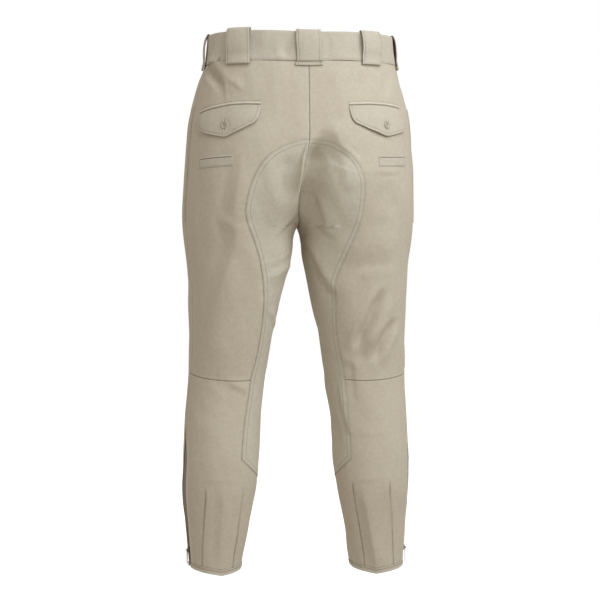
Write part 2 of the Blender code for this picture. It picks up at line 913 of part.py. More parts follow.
def make_pull(side, collection, material):
    """Pull tab, hanging plumb from its bar. Its origin is on the hinge axis."""
    name = "zip_pull_" + SIDE_NAMES[side]
    half = PULL_WIDTH / 2
    narrow = half * 0.72
    outer = (
        (-half, PULL_BAR),
        (-half, -PULL_WINDOW[1] - 2 * MM),
        (-narrow, -PULL_LENGTH + 2 * MM),
        (-narrow + 2 * MM, -PULL_LENGTH),
        (narrow - 2 * MM, -PULL_LENGTH),
        (narrow, -PULL_LENGTH + 2 * MM),
        (half, -PULL_WINDOW[1] - 2 * MM),
        (half, PULL_BAR),
    )
    side_gap = PULL_WINDOW[0] / 2
    window = (
        (-side_gap, -PULL_BAR),
        (side_gap, -PULL_BAR),
        (side_gap, -PULL_WINDOW[1]),
        (-side_gap, -PULL_WINDOW[1]),
    )
    shape = bpy.data.curves.new(name, "CURVE")
    shape.dimensions = "2D"
    shape.fill_mode = "BOTH"
    shape.extrude = PULL_THICKNESS / 2
    for outline in (outer, window):
        line = shape.splines.new("POLY")
        line.points.add(len(outline) - 1)
        for spot, (x, z) in zip(line.points, outline):
            spot.co = (x, z, 0, 1)
        line.use_cyclic_u = True
    shape.materials.append(material)
    obj = bpy.data.objects.new(name, shape)
    collection.objects.link(obj)
    point, flat = pull_axis(side)
    obj.matrix_world = frame_at(point, flat) @ Matrix.Rotation(math.pi / 2, 4, "X")
    return obj


def make_leg(side, collection, cutters, looks):
    points = leg_points(side)
    make_front(side, points, collection, looks["panel"])
    make_back(side, points, collection, looks["panel"])
    make_patch(side, points, collection, cutters, looks["patch"])
    make_hem(side, collection, looks["trim"])
    make_flap(side, collection, looks["trim"])
    make_jet(side, collection, looks["trim"])
    make_welt(side, collection, looks["trim"])
    make_side_pocket(side, collection, looks["trim"])
    make_waistband(side, collection, looks["band"])
    make_tape(side, collection, looks["tape"])
    make_slider(side, collection, cutters, looks["metal"])
    make_pull(side, collection, looks["metal"])
    distance, height = FLAP_BUTTONS[side]
    stand = TRIM_LIFT + TRIM_THICKNESS + BUTTON_SHANK + BUTTON_THICKNESS / 2
    across = 1 - distance / panel_width("back", height)
    normal = outward(side, "back", across, height)
    spot = cloth_point(side, "back", across, height, stand)
    name = "flap_button_" + SIDE_NAMES[side]
    make_button(name, spot, normal, FLAP_BUTTON_RADIUS, collection, looks["horn"])


def make_front_closing(collection, looks):
    make_fly(collection, looks["trim"])
    make_waist_lap(collection, looks["band"])
    stand = BAND_PROUD + TRIM_LIFT + LAP_THICKNESS + BUTTON_SHANK + BUTTON_THICKNESS / 2
    place = -LAP_REACH * 0.6
    spot = waist_front_point(place, 0, stand)
    normal = spot - waist_front_point(place, 0)
    make_button("waist_button", spot, normal, WAIST_BUTTON_RADIUS, collection, looks["horn"])


def main():
    clear_scene()
    breeches = new_collection("breeches")
    cutters = new_collection("cutters", hidden=True)
    looks = {
        "panel": new_material("twill_panel", (0.56, 0.50, 0.38), 0.82, 0.0),
        "patch": new_material("twill_patch", (0.58, 0.52, 0.40), 0.82, 0.0),
        "band": new_material("twill_band", (0.56, 0.50, 0.38), 0.82, 0.0),
        "trim": new_material("twill_trim", (0.57, 0.51, 0.39), 0.82, 0.0),
        "horn": new_material("button_resin", (0.34, 0.29, 0.21), 0.4, 0.0),
        "tape": new_material("zip_tape", (0.16, 0.14, 0.11), 0.85, 0.0),
        "metal": new_material("zip_metal", (0.40, 0.36, 0.30), 0.35, 1.0),
    }
    make_leg(LEFT, breeches, cutters, looks)
    make_leg(RIGHT, breeches, cutters, looks)
    make_front_closing(breeches, looks)
    for name, centre in LOOPS.items():
        make_loop(name, centre, breeches, looks["trim"])
    root = bpy.data.objects.new("breeches_root", None)
    breeches.objects.link(root)
    for obj in list(breeches.objects):
        if obj is not root:
            obj.parent = root


main()
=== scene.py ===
# Riding breeches in tan cotton twill, filled out as worn, seen from behind.
# The wearer faces -Y and their left side is +X. Sizes in the tables are millimetres.

import math

import bmesh
import bpy
import numpy as np
from mathutils import Matrix, Vector


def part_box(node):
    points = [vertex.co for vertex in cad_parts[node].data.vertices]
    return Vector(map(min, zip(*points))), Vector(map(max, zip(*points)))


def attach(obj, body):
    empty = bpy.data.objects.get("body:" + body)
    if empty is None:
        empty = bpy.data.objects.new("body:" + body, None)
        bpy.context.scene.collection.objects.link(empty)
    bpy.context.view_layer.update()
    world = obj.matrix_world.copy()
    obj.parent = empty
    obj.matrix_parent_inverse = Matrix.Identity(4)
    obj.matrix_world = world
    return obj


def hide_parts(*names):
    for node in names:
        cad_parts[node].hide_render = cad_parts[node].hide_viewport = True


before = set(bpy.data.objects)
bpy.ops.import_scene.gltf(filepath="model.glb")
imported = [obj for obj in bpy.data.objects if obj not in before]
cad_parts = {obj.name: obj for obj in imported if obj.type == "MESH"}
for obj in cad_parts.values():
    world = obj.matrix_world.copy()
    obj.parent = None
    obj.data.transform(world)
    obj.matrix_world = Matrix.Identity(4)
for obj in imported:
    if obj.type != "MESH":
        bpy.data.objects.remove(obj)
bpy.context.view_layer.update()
mm = 0.001
sideNames = {1: "left", -1: "right"}

# Worn form of one leg

stance = {
    "leanHeights": (-910, -560, -190),  # both legs lean to the wearer's left
    "lean": (7, 5.6, 0),
    "ovalPower": 2.2,
    "crotchTop": -243,
    "crotchFoot": -350,
    "innerEase": 5,
    "centreGap": 0.15,
}

# height, centre from the middle plane, half width, depth before, depth behind, setback
legForm = [
    (26, 0, 159, 121, 117, 0),
    (-26, 0, 165, 124, 121, 0),
    (-60, 4, 174, 127, 128, 0),
    (-116, 16, 176, 126, 137, 0),
    (-165, 34, 162.5, 124, 143, 0),
    (-221, 62, 137.5, 120, 140, 0),
    (-256, 80, 120.4, 116, 133, 0),
    (-305, 100.15, 100, 108, 120, 0),
    (-361, 102.4, 91.9, 100, 108, 0),
    (-431, 108, 82.7, 93, 97, 0),
    (-501, 115, 73.9, 86, 86, 0),
    (-571, 120.3, 68.7, 80, 74, 2),
    (-641, 128.2, 66, 70, 74, 8),
    (-711, 131.7, 66, 64, 74, 14),
    (-746, 133.4, 65.2, 61, 71, 17),
    (-816, 137, 56.4, 54, 59, 20),
    (-893, 141, 46, 48, 49, 22),
    (-910, 142, 45, 47, 48, 22),
]

# height, turn of the side seam round the oval from the front, in degrees
sideSeam = [(-910, 96), (-850, 97), (-800, 98), (-750, 100), (-700, 102), (26, 102)]

# height, dip of the back of that row below its height
rowDips = [
    (-930, 12), (-884, 12), (-850, 10), (-812, 8), (-775, 6), (-735, 5), (-690, 6), (-645, 8),
    (-600, 11), (-557, 13), (-515, 9), (-470, 5), (-425, 2), (-385, 0), (40, 0),
]

swayShape = {
    # height, stray of the centre back seam
    "rows": [
        (-350, 0), (-320, 4), (-294, 7), (-267, 7.3), (-240, 6.1), (-212, 4.7), (-185, 2.8), (-161, -0.8),
        (-145, -2), (-110, -2.2), (-60, -3), (26, -2.8),
    ],
    "reach": 50,  # round from the seam
    "start": 30,  # behind the middle
    "fade": 50,
}

levels = np.arange(-930, 41) * mm
shares = np.linspace(0, 1, 321)


def smooth(t):
    t = np.clip(t, 0, 1)
    return t * t * (3 - 2 * t)


def bell(distance, middle, width):
    # 1 at the middle, fading away on both sides of it
    return np.exp(-(((distance - middle) / width) ** 2))


def runAlong(line):
    # distance along a line of points
    return np.concatenate([[0], np.cumsum(np.linalg.norm(np.diff(line, axis=0), axis=1))])


def evenly(line, count):
    # even points along a line of points
    run = runAlong(line)
    wanted = np.linspace(0, run[-1], count)
    return np.stack([np.interp(wanted, run, line[:, k]) for k in range(line.shape[1])], -1)


def readRows(rows, height):
    # a table of (height, size) rows at any heights
    return np.interp(height, [r[0] * mm for r in rows], [r[1] * mm for r in rows])


def easeTable(table, wanted):
    # values of a table of rows at any heights, eased through its rows
    rows = np.array(sorted(table), float) * mm
    heights, values = rows[:, 0], rows[:, 1:]
    slopes = np.gradient(values, heights, axis=0, edge_order=1)
    wanted = np.clip(wanted, heights[0], heights[-1])
    low = np.clip(np.searchsorted(heights, wanted) - 1, 0, len(heights) - 2)
    span = (heights[low + 1] - heights[low])[:, None]
    t = (wanted - heights[low])[:, None] / span
    start = (2 * t**3 - 3 * t**2 + 1) * values[low] + (t**3 - 2 * t**2 + t) * span * slopes[low]
    end = (3 * t**2 - 2 * t**3) * values[low + 1] + (t**3 - t**2) * span * slopes[low + 1]
    return start + end


def leanAt(height):
    return np.interp(height, np.array(stance["leanHeights"]) * mm, np.array(stance["lean"]) * mm)


def seatSway(height, depth):
    # how far the worn centre back seam strays to the wearer's left, behind the crotch
    start, fade = swayShape["start"] * mm, swayShape["fade"] * mm
    return readRows(swayShape["rows"], height) * smooth((depth - start) / fade)


def buildSections():
    # outline of each panel at every level, at even shares of its width from the side seam
    found = {}
    forms = easeTable(legForm, levels)
    turns = np.radians(np.interp(levels, [r[0] * mm for r in sideSeam], [r[1] for r in sideSeam]))
    power = 2 / stance["ovalPower"]
    gap = stance["centreGap"] * mm
    for panel in ("front", "back"):
        xs = np.zeros((len(levels), len(shares)))
        ys = np.zeros_like(xs)
        widths = np.zeros(len(levels))
        for row, (centre, half, before, behind, setback) in enumerate(forms):
            inner = math.asin(min(1, max(centre - gap, 0) / half) ** (stance["ovalPower"] / 2))
            end = -inner if panel == "front" else math.pi + inner
            turn = np.linspace(turns[row], end, 361)
            sine, cosine = np.sin(turn), np.cos(turn)
            x = np.maximum(centre + half * np.sign(sine) * np.abs(sine) ** power, gap)
            y = setback - np.where(cosine > 0, before, behind) * np.sign(cosine) * np.abs(cosine) ** power
            run = np.concatenate([[0], np.cumsum(np.hypot(np.diff(x), np.diff(y)))])
            widths[row] = run[-1]
            xs[row] = np.interp(shares * run[-1], run, x)
            ys[row] = np.interp(shares * run[-1], run, y)
        found[panel] = (xs, ys, widths)
    return found


sections = buildSections()


def levelPlace(height):
    place = np.clip((height - levels[0]) / mm, 0, len(levels) - 1.001)
    low = place.astype(int)
    return low, place - low


def widthAt(panel, height):
    widths = sections[panel][2]
    low, part = levelPlace(np.asarray(height, float))
    return widths[low] * (1 - part) + widths[low + 1] * part


def onForm(side, panel, run, height):
    # point of the plain form at a distance from the side seam
    run, height = np.broadcast_arrays(np.asarray(run, float), np.asarray(height, float))
    xs, ys, _ = sections[panel]
    low, part = levelPlace(height)
    place = np.clip(run / widthAt(panel, height), 0, 1) * (len(shares) - 1)
    left = np.minimum(place.astype(int), len(shares) - 2)
    beside = place - left
    found = []
    for table in (xs, ys):
        upper = table[low + 1, left] * (1 - beside) + table[low + 1, left + 1] * beside
        lower = table[low, left] * (1 - beside) + table[low, left + 1] * beside
        found.append(lower * (1 - part) + upper * part)
    x, y = side * found[0], found[1]
    x = x + seatSway(height, y) * bell(x, 0, swayShape["reach"] * mm)
    return np.stack([x + leanAt(height), y, height], -1)


def unit(vectors):
    return vectors / np.maximum(np.linalg.norm(vectors, axis=-1, keepdims=True), 1e-12)


def facing(side, panel, run, height):
    # outward direction of the plain form
    step = 1.6 * mm
    run, height = np.broadcast_arrays(np.asarray(run, float), np.asarray(height, float))
    width = widthAt(panel, height)
    near, far = np.clip(run - step, 0, width), np.clip(run + step, 0, width)
    along = onForm(side, panel, far, height) - onForm(side, panel, near, height)
    share = run / width
    above, below = height + 2 * mm, height - 2 * mm
    up = onForm(side, panel, share * widthAt(panel, above), above)
    up = up - onForm(side, panel, share * widthAt(panel, below), below)
    normal = np.cross(along, up) if panel == "back" else np.cross(up, along)
    return unit(normal * side)


def easedRun(panel, share, height):
    # distance from the side seam at a share of the panel; the crotch's width goes inward
    width = widthAt(panel, height)
    top, foot = stance["crotchTop"] * mm, stance["crotchFoot"] * mm
    high, low = widthAt(panel, top), widthAt(panel, foot)
    plain = np.minimum(high + (low - high) * np.clip((top - height) / (top - foot), 0, 1), width)
    eased = share * plain + (width - plain) * share ** stance["innerEase"]
    inside = (height < top) & (height > foot)
    return np.where(inside, eased, share * width)


# Folds of the worn cloth: side, panel, rise, half width, crispness, path.
# A place on a path is (distance round from the inner edge, height). The inner edge is the
# centre seam down to the crotch, then the inseam, and 400 round lies on the side seam.
# Two half widths are those on the left hand and the right hand of someone walking the path.
# A crispness of 1 is a soft wave and 2 a sharp one. Own folds stay off the other leg.

sharedFolds = [
    # seat and hips, back
    (-1, "back", -14, (28, 4), 1, [
        (16, -152), (10, -164), (4, -178), (0, -192), (-1, -210), (-1, -228), (-1, -246), (0, -264), (2, -284),
        (3, -304)
    ]),
    (-1, "back", -15, (42, 7), 1, [
        (26, -138), (21, -152), (16, -168), (11, -190), (7, -214), (4, -240), (3, -264), (3, -288), (4, -312)
    ]),
    (-1, "back", 4.4, (12, 6), 1.6, [(15, -242), (34, -269), (70, -294), (112, -311), (132, -328)]),
    (-1, "back", 2.4, (24, 8), 1.7, [(56, -180), (62, -202), (68, -226), (74, -252)]),
    (1, "back", -4.0, (20, 13), 1, [(34, -178), (41, -217), (36, -243), (26, -272)]),
    (1, "back", 1.6, 7, 1, [(5, -180), (8, -215), (8, -250)]),
    (-1, "back", 4.0, (40, 11), 1.8, [(40, -124), (44, -140), (48, -155), (54, -168), (65, -180), (81, -194)]),
    (-1, "back", 1.5, 5, 1.3, [(52, -166), (62, -176), (77, -188), (90, -205)]),
    (1, "back", 5.4, (34, 8), 1.9, [
        (208, -16), (196, -19), (180, -26), (166, -33), (156, -41), (147, -52), (142, -67), (143, -86)
    ]),
    (1, "back", -5.5, (8, 7), 1, [(214, -18), (189, -31), (175, -41), (163, -51), (154, -61), (146, -74)]),
    (1, "back", 2.2, (9, 20), 1, [(226, -34), (210, -46), (188, -60), (172, -73), (160, -84), (148, -92)]),
    (1, "back", 1.0, (3.5, 3), 1.5, [(145, -62), (143, -78), (143, -96)]),
    (1, "back", -2.2, 9, 1, [(200, -34), (204, -52), (206, -74)]),
    (1, "back", 1.4, (8, 4), 1.3, [(138, -54), (123, -65), (108, -77)]),
    (-1, "back", -1.6, 13, 1, [(80, -74), (102, -61), (130, -52)]),
    (-1, "back", -2.0, 10, 1, [(170, -38), (150, -58), (140, -84)]),
    (-1, "back", 1.2, (8, 4), 1, [(110, -211), (140, -214), (178, -208)]),
    (-1, "back", -1.8, 16, 1, [(122, -237), (150, -258), (186, -286)]),
    (1, "back", 6.0, (24, 12), 1.3, [
        (112, -160), (113, -180), (114, -204), (118, -226), (122, -246), (130, -262), (137, -276), (150, -289),
        (163, -296), (187, -303), (189, -316), (184, -330), (181, -344), (182, -358), (183, -378), (182, -400),
        (182, -425), (183, -455), (185, -485)
    ]),
    (1, "back", 0.8, 13, 1, [(100, -30), (92, -60), (96, -92)]),
    (-1, "back", 0.7, 15, 1, [(60, -30), (52, -64), (58, -100)]),
    (1, "back", 4.5, 42, 1, [(116, 60), (116, 20), (116, -20), (116, -62)]),
    # thighs, back
    (-1, "back", 4.4, (20, 8), 1.7, [
        (36, -312), (56, -338), (68, -354), (76, -372), (84, -392), (97, -414), (104, -440)
    ]),
    (-1, "back", -3.2, 10, 1, [(44, -341), (58, -368), (70, -402), (80, -430)]),
    (-1, "back", 1.5, (18, 14), 1.1, [(122, -362), (150, -345), (180, -336), (206, -338), (232, -352)]),
    (-1, "back", -1.2, (12, 7), 1.2, [(126, -380), (150, -376), (174, -373), (200, -371), (232, -366)]),
    (-1, "back", -9, (9, 7), 1, [
        (189, -406), (173, -424), (157, -442), (140, -464), (123, -484), (108, -504), (94, -524)
    ]),
    (-1, "back", 3.4, (8, 9), 1, [(204, -424), (180, -448), (156, -474), (130, -500), (110, -522)]),
    (-1, "back", -9, (9, 7), 1.2, [
        (201, -456), (182, -474), (169, -486), (151, -506), (134, -526), (121, -542)
    ]),
    (-1, "back", 1.4, (8, 16), 1.4, [(222, -350), (204, -400), (186, -452), (176, -500)]),
    (-1, "back", 1.5, (9, 6), 1.4, [(68, -531), (84, -536), (103, -549)]),
    (1, "back", 3.0, (7, 11), 1.6, [(112, -398), (94, -388), (72, -376), (44, -366)]),
    (1, "back", 2.4, (8, 4.5), 1.7, [(86, -442), (67, -460), (38, -484)]),
    (1, "back", 1.9, (16, 14), 1, [(170, -325), (136, -375), (118, -413), (105, -478), (96, -530)]),
    (1, "back", -1.4, 15, 1, [(160, -430), (150, -480), (132, -525)]),
    (-1, "back", -2.6, 32, 1, [(400, -680), (400, -740), (400, -800), (400, -852)]),
    (1, "back", -4.4, 46, 1, [(400, -350), (400, -430), (400, -520), (400, -590)]),
    (-1, "back", 2.2, 32, 1, [(400, -400), (400, -460), (400, -560), (400, -640)]),
    (-1, "back", 5.5, 30, 1, [(400, 60), (400, 20), (400, -20), (400, -62)]),
    # knees and calves, back
    (1, "back", 1.6, (9, 5), 1.4, [(120, -574), (98, -580), (76, -592)]),
    (1, "back", 1.3, 10, 1, [(162, -582), (134, -588), (118, -610)]),
    (-1, "back", 1.7, (13, 4.5), 1.6, [(98, -530), (90, -577), (88, -615)]),
    (-1, "back", 3.0, (14, 5), 1.6, [(62, -560), (60, -578), (58, -600), (60, -626), (66, -652), (72, -676)]),
    (-1, "back", -2.4, 12, 1, [(20, -628), (31, -658), (32, -695)]),
    (-1, "back", 0.5, (10, 5), 1, [(78, -656), (104, -661), (138, -655)]),
    (1, "back", -1.0, 12, 1, [(178, -612), (150, -628), (124, -634)]),
    (1, "back", 2.4, (13, 6), 2.2, [(114, -738), (97, -795), (83, -851), (73, -903)]),
    (-1, "back", 4.8, (15, 8), 2.2, [(82, -740), (79, -785), (73, -835), (66, -925)]),
    (1, "back", 0.45, (7, 4), 1, [(148, -741), (113, -739), (65, -745)]),
    (-1, "back", 0.45, (7, 4), 1, [(58, -741), (97, -740), (140, -735)]),
    # front: knees, groin and shins
    (1, "front", -4.2, 11, 1, [(70, -232), (104, -262), (150, -282)]),
    (-1, "front", -4.4, 12, 1, [(64, -238), (100, -264), (142, -290)]),
    (1, "front", 2.6, 10, 1, [(40, -262), (84, -292), (140, -312)]),
    (-1, "front", 2.8, 9, 1, [(44, -270), (86, -296), (134, -318)]),
    (1, "front", -2.6, 9, 1, [(24, -214), (48, -240), (66, -270)]),
    (-1, "front", -2.2, 8, 1, [(20, -220), (42, -248), (58, -280)]),
    (1, "front", -1.8, 14, 1, [(176, -250), (150, -300), (140, -352)]),
    (-1, "front", -2.0, 15, 1, [(182, -262), (156, -316), (146, -372)]),
    (1, "front", 2.2, 10, 1, [(150, -480), (118, -500), (78, -505)]),
    (-1, "front", 2.0, 11, 1, [(146, -486), (112, -508), (70, -512)]),
    (1, "front", -2.0, 9, 1, [(152, -504), (116, -522), (80, -528)]),
    (-1, "front", -2.2, 9, 1, [(148, -512), (110, -532), (74, -536)]),
    (1, "front", -2.0, 10, 1, [(146, -584), (112, -602), (66, -600)]),
    (-1, "front", -1.7, 10, 1, [(138, -590), (106, -604), (60, -598)]),
    (1, "front", 1.5, 10, 1, [(136, -612), (104, -624), (64, -622)]),
    (-1, "front", 1.7, 9, 1, [(132, -616), (100, -630), (58, -626)]),
    (1, "front", 2.0, 13, 1, [(84, -650), (80, -730), (74, -820)]),
    (-1, "front", 2.1, 12, 1, [(86, -644), (80, -722), (72, -812)]),
    (1, "front", -1.5, 12, 1, [(60, -60), (84, -84), (96, -112)]),
    (-1, "front", -1.3, 13, 1, [(66, -56), (90, -82), (100, -118)]),
    (1, "front", 1.2, 16, 1, [(52, -120), (70, -160), (66, -200)]),
    (-1, "front", 1.3, 15, 1, [(56, -112), (74, -156), (70, -196)]),
]
ownFolds = [
    (1, "back", 2.6, (2.5, 26), 1, [(3, -134), (3, -160), (3, -190), (3, -222), (3, -246)]),
    (1, "back", -7, 22, 1, [(1, -262), (2, -290), (3, -330), (4, -380), (4, -440), (4, -520)]),
    (1, "back", -4, 34, 1, [(14, -262), (16, -330), (18, -414), (18, -500), (16, -590), (14, -690)]),
    (1, "back", -5.5, 28, 1, [(18, -332), (22, -372), (24, -414), (24, -446), (22, -472)]),
    (1, "back", -2.4, 20, 1, [(3, -680), (3, -760), (3, -830), (3, -905)]),
    (-1, "back", -3, 16, 1, [(1, -262), (1, -285), (1, -310), (2, -335)]),
    (-1, "front", -3.4, 24, 1, [(12, -450), (12, -500), (12, -540), (12, -590)]),
    (-1, "front", -3.2, 24, 1, [(12, -700), (12, -760), (12, -820), (12, -880)]),
]


def curveThrough(points, count):
    # even points along a smooth curve through the given ones
    points = np.asarray(points, float)
    if len(points) > 2:
        padded = np.vstack([2 * points[0] - points[1], points, 2 * points[-1] - points[-2]])
        fine = []
        for a, b, c, d in zip(padded, padded[1:], padded[2:], padded[3:]):
            t = np.linspace(0, 1, 24, endpoint=False)[:, None]
            bent, twisted = 2 * a - 5 * b + 4 * c - d, 3 * b - a - 3 * c + d
            fine.append(0.5 * (2 * b + (c - a) * t + bent * t**2 + twisted * t**3))
        points = np.vstack(fine + [points[-1:]])
    return evenly(points, count)


foldShape = {
    "evened": 40,  # times that a path is evened out, where the crotch widens
    "reach": 4.4,  # widths past which a fold does nothing
    "taper": 0.3,  # share of the path at each end
    "turn": 0.8,  # widths over which the left hand's width gives way to the right's
    "lopsided": 0.25,
    "ripple": 0.30,  # the dip beside a fold, as a share of its rise
    "rippleAt": 2.0,
    "rippleWidth": 0.9,
    "rippleEnd": 2.4,
}


def readyFolds():
    ready = []
    for own, rows in ((False, sharedFolds), (True, ownFolds)):
        for side, panel, rise, spread, crisp, path in rows:
            length = np.linalg.norm(np.diff(np.array(path, float), axis=0), axis=1).sum()
            path = curveThrough(path, int(length / 2) + 8) * mm
            run = widthAt(panel, path[:, 1]) - path[:, 0]
            places = onForm(side, panel, run, path[:, 1])
            for _ in range(foldShape["evened"]):
                places[1:-1] = (places[:-2] + 2 * places[1:-1] + places[2:]) / 4
            beside = np.cross(facing(side, panel, run, path[:, 1]), unit(np.gradient(places, axis=0)))
            wide = np.broadcast_to(spread, 2) * mm
            ready.append((side if own else 0, rise * mm, wide, crisp, places, beside))
    return ready


foldPaths = readyFolds()
sliderSpots = [np.mean(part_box("zip_slider_" + sideNames[side]), axis=0) for side in (1, -1)]
waves = []
waveShape = {
    "seed": 11,
    # length from crest to crest, size
    "sizes": ((150, 0.50), (118, 0.42), (92, 0.34), (74, 0.28), (58, 0.22), (44, 0.17), (33, 0.13), (25, 0.09)),
    "upright": 0.55,  # longer up and down than round the leg
    "curl": (1.3, 0.6),
    "clear": 16,  # flat round the zip sliders, which ride on the plain form
    "clearFade": 40,
}
waveSeed = np.random.default_rng(waveShape["seed"])
for length, size in waveShape["sizes"]:
    way = unit(waveSeed.normal(size=3) * (1, 1, waveShape["upright"]))
    waves.append((way * 2 * math.pi / (length * mm), waveSeed.uniform(0, 6.28), size * mm))


def clothRise(points):
    # folds and unevenness at points of the plain form, as a rise along the normal
    shape = points.shape[:-1]
    flat = points.reshape(-1, 3)
    rise = np.zeros(len(flat))
    curl, rate = waveShape["curl"]
    for wave, start, size in waves:
        rise += size * np.sin(flat @ wave + start + curl * np.sin(flat @ wave[[2, 0, 1]] * rate))
    for anchor in sliderSpots:
        away = np.linalg.norm(flat - anchor, axis=-1)
        rise *= smooth((away - waveShape["clear"] * mm) / (waveShape["clearFade"] * mm))
    for only, height, wide, crisp, places, beside in foldPaths:
        reach = foldShape["reach"] * wide.max()
        low, high = places.min(0) - reach, places.max(0) + reach
        near = np.all((flat > low) & (flat < high), axis=1)
        if only:
            near &= only * (flat[:, 0] - leanAt(flat[:, 2])) > 0
        near = np.flatnonzero(near)
        if not len(near):
            continue
        gaps = flat[near][:, None, :] - places[None]
        nearest = (gaps**2).sum(-1).argmin(1)
        picked = gaps[np.arange(len(near)), nearest]
        across = (picked * beside[nearest]).sum(-1)
        distance = np.linalg.norm(picked, axis=-1)
        share = nearest / (len(places) - 1)
        taper = smooth(share / foldShape["taper"]) * smooth((1 - share) / foldShape["taper"])
        turned = smooth(0.5 + across / (foldShape["turn"] * wide.min()))
        width = wide[1] + (wide[0] - wide[1]) * turned
        body = np.exp(-((distance / width) ** (2 / crisp**0.6)))
        ripple = bell(np.abs(across), foldShape["rippleAt"] * width, foldShape["rippleWidth"] * width)
        ripple = foldShape["ripple"] * ripple
        ripple = ripple * np.exp(-np.maximum(distance - foldShape["rippleEnd"] * width, 0) / width)
        lopsided = 1 + foldShape["lopsided"] * np.tanh(across / width)
        rise[near] += height * taper * (body * lopsided - ripple)
    return rise.reshape(shape)


# Beside the centre seam both legs rise the same way, so that it stays shut
seamPull = {
    "reach": 30,  # where the cloth rises freely again
    "close": 8,
    "foot": -292,  # where the legs part
    "fade": 40,
}


def clothAt(side, panel, run, height, lift=0.0):
    plain = onForm(side, panel, run, height)
    normal = facing(side, panel, run, height)
    seam = leanAt(plain[..., 2]) + seatSway(plain[..., 2], plain[..., 1])
    beyond = np.abs(plain[..., 0] - seam) / mm
    beside = smooth(beyond / seamPull["reach"])
    below = smooth((seamPull["foot"] * mm - plain[..., 2]) / (seamPull["fade"] * mm))
    normal = normal * np.stack([np.maximum(beside, below), 0 * below + 1, 0 * below + 1], -1)
    rise = clothRise(plain) + lift
    points = plain + normal * rise[..., None]
    edge = 1 - smooth(beyond / seamPull["close"])
    points[..., 0] -= side * stance["centreGap"] * mm * edge * (1 - below)
    return points


def backSpots(side, around, height, lift):
    width = widthAt("back", height)
    return clothAt(side, "back", width - around, height, lift)


print("form and", len(foldPaths), "folds ready")

# Building tools


def addObject(name, data):
    thing = bpy.data.objects.new(name, data)
    bpy.context.scene.collection.objects.link(thing)
    return thing


def gradedSteps(total, step, closeSteps, bothEnds=True, alsoAt=()):
    # places from 0 to total, close together near the ends and at the named places
    ends = np.cumsum([0] + list(closeSteps))
    places = list(ends) + ([total - e for e in ends] if bothEnds else [total])
    for spot in alsoAt:
        places += [spot + k for k in (-1.7, -1.0, -0.45, 0, 0.45, 1.0, 1.7)]
    places = sorted(p for p in places if 0 <= p <= total)
    filled = [places[0]]
    for spot in places[1:]:
        gap = spot - filled[-1]
        if gap < 0.2:
            continue
        parts = max(1, math.ceil(gap / step - 1e-6))
        start = filled[-1]
        filled += [start + gap * (k + 1) / parts for k in range(parts)]
    filled[-1] = total
    return np.array(filled)


def makeSheet(node, points, flat, wall, material, worn, outward):
    # thin shell through a grid of points, in place of its node. Flat is the cloth laid out in metres, which is
    # its UV map.
    rows, columns = points.shape[:2]
    index = np.arange(rows * columns).reshape(rows, columns)
    quads = np.stack([index[:-1, :-1], index[1:, :-1], index[1:, 1:], index[:-1, 1:]], -1).reshape(-1, 4)
    middle = points[rows // 2, columns // 2]
    along, down = points[rows // 2, columns // 2 + 1] - middle, points[rows // 2 + 1, columns // 2] - middle
    if np.dot(np.cross(down, along), outward) < 0:
        quads = quads[:, ::-1]
    mesh = bpy.data.meshes.new(node)
    mesh.vertices.add(rows * columns)
    mesh.vertices.foreach_set("co", points.reshape(-1).astype(np.float32))
    mesh.loops.add(quads.size)
    mesh.loops.foreach_set("vertex_index", quads.reshape(-1).astype(np.int32))
    mesh.polygons.add(len(quads))
    mesh.polygons.foreach_set("loop_start", np.arange(0, quads.size, 4, dtype=np.int32))
    mesh.update(calc_edges=True)
    layer = mesh.uv_layers.new(name="cloth")
    layer.data.foreach_set("uv", flat.reshape(-1, 2)[quads.reshape(-1)].reshape(-1).astype(np.float32))
    shade = mesh.attributes.new("worn", "FLOAT", "POINT")
    shade.data.foreach_set("value", np.broadcast_to(worn, (rows, columns)).reshape(-1).astype(np.float32))
    mesh.materials.append(material)
    mesh.shade_smooth()
    piece = addObject(node + "_cloth", mesh)
    shell = piece.modifiers.new("Wall", "SOLIDIFY")
    shell.thickness = wall * mm
    shell.offset = -1
    shell.use_even_offset = False
    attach(piece, "breeches")
    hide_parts(node)


def toLine(points, line):
    # distance of points to a line of points, and how far along it they are
    shape = points.shape[:-1]
    flat = points.reshape(-1, points.shape[-1])
    best = np.full(len(flat), 1e9)
    along = np.zeros(len(flat))
    run = runAlong(line)
    for k, (a, b) in enumerate(zip(line, line[1:])):
        way = b - a
        share = np.clip(((flat - a) @ way) / max((way**2).sum(), 1e-12), 0, 1)
        gap = np.linalg.norm(flat - a - share[:, None] * way, axis=-1)
        nearer = gap < best
        best = np.where(nearer, gap, best)
        along = np.where(nearer, run[k] + share * (run[k + 1] - run[k]), along)
    return best.reshape(shape), along.reshape(shape)


def groove(distance, depth, width):
    return -depth * np.exp(-((distance / width) ** 2))


def pucker(distance, along, size, reach, seed):
    # short uneven wrinkles beside a sewn line, fading away from it
    wave = np.sin(along / mm * 0.354 + 1.9 * np.sin(along / mm * 0.083 + seed))
    wave = wave * (0.55 + 0.45 * np.sin(along / mm * 0.047 + 2 * seed))
    wave = wave + 0.45 * np.sin(along / mm * 0.81 + 2.2 * np.sin(along / mm * 0.061 + 3 * seed))
    return size * wave * np.exp(-distance / reach) * smooth(distance / (0.25 * reach))


def edgeRoll(distance, depth, reach):
    # cloth turned down into a seam or over its own edge
    t = np.clip(distance / reach, 0, 1)
    return -depth * (1 - np.sqrt(1 - (1 - t) ** 2 * 0.98))


# Materials


def linear(code):
    values = [int(code[k : k + 2], 16) / 255 for k in (1, 3, 5)]
    return tuple(v / 12.92 if v <= 0.04045 else ((v + 0.055) / 1.055) ** 2.4 for v in values) + (1,)


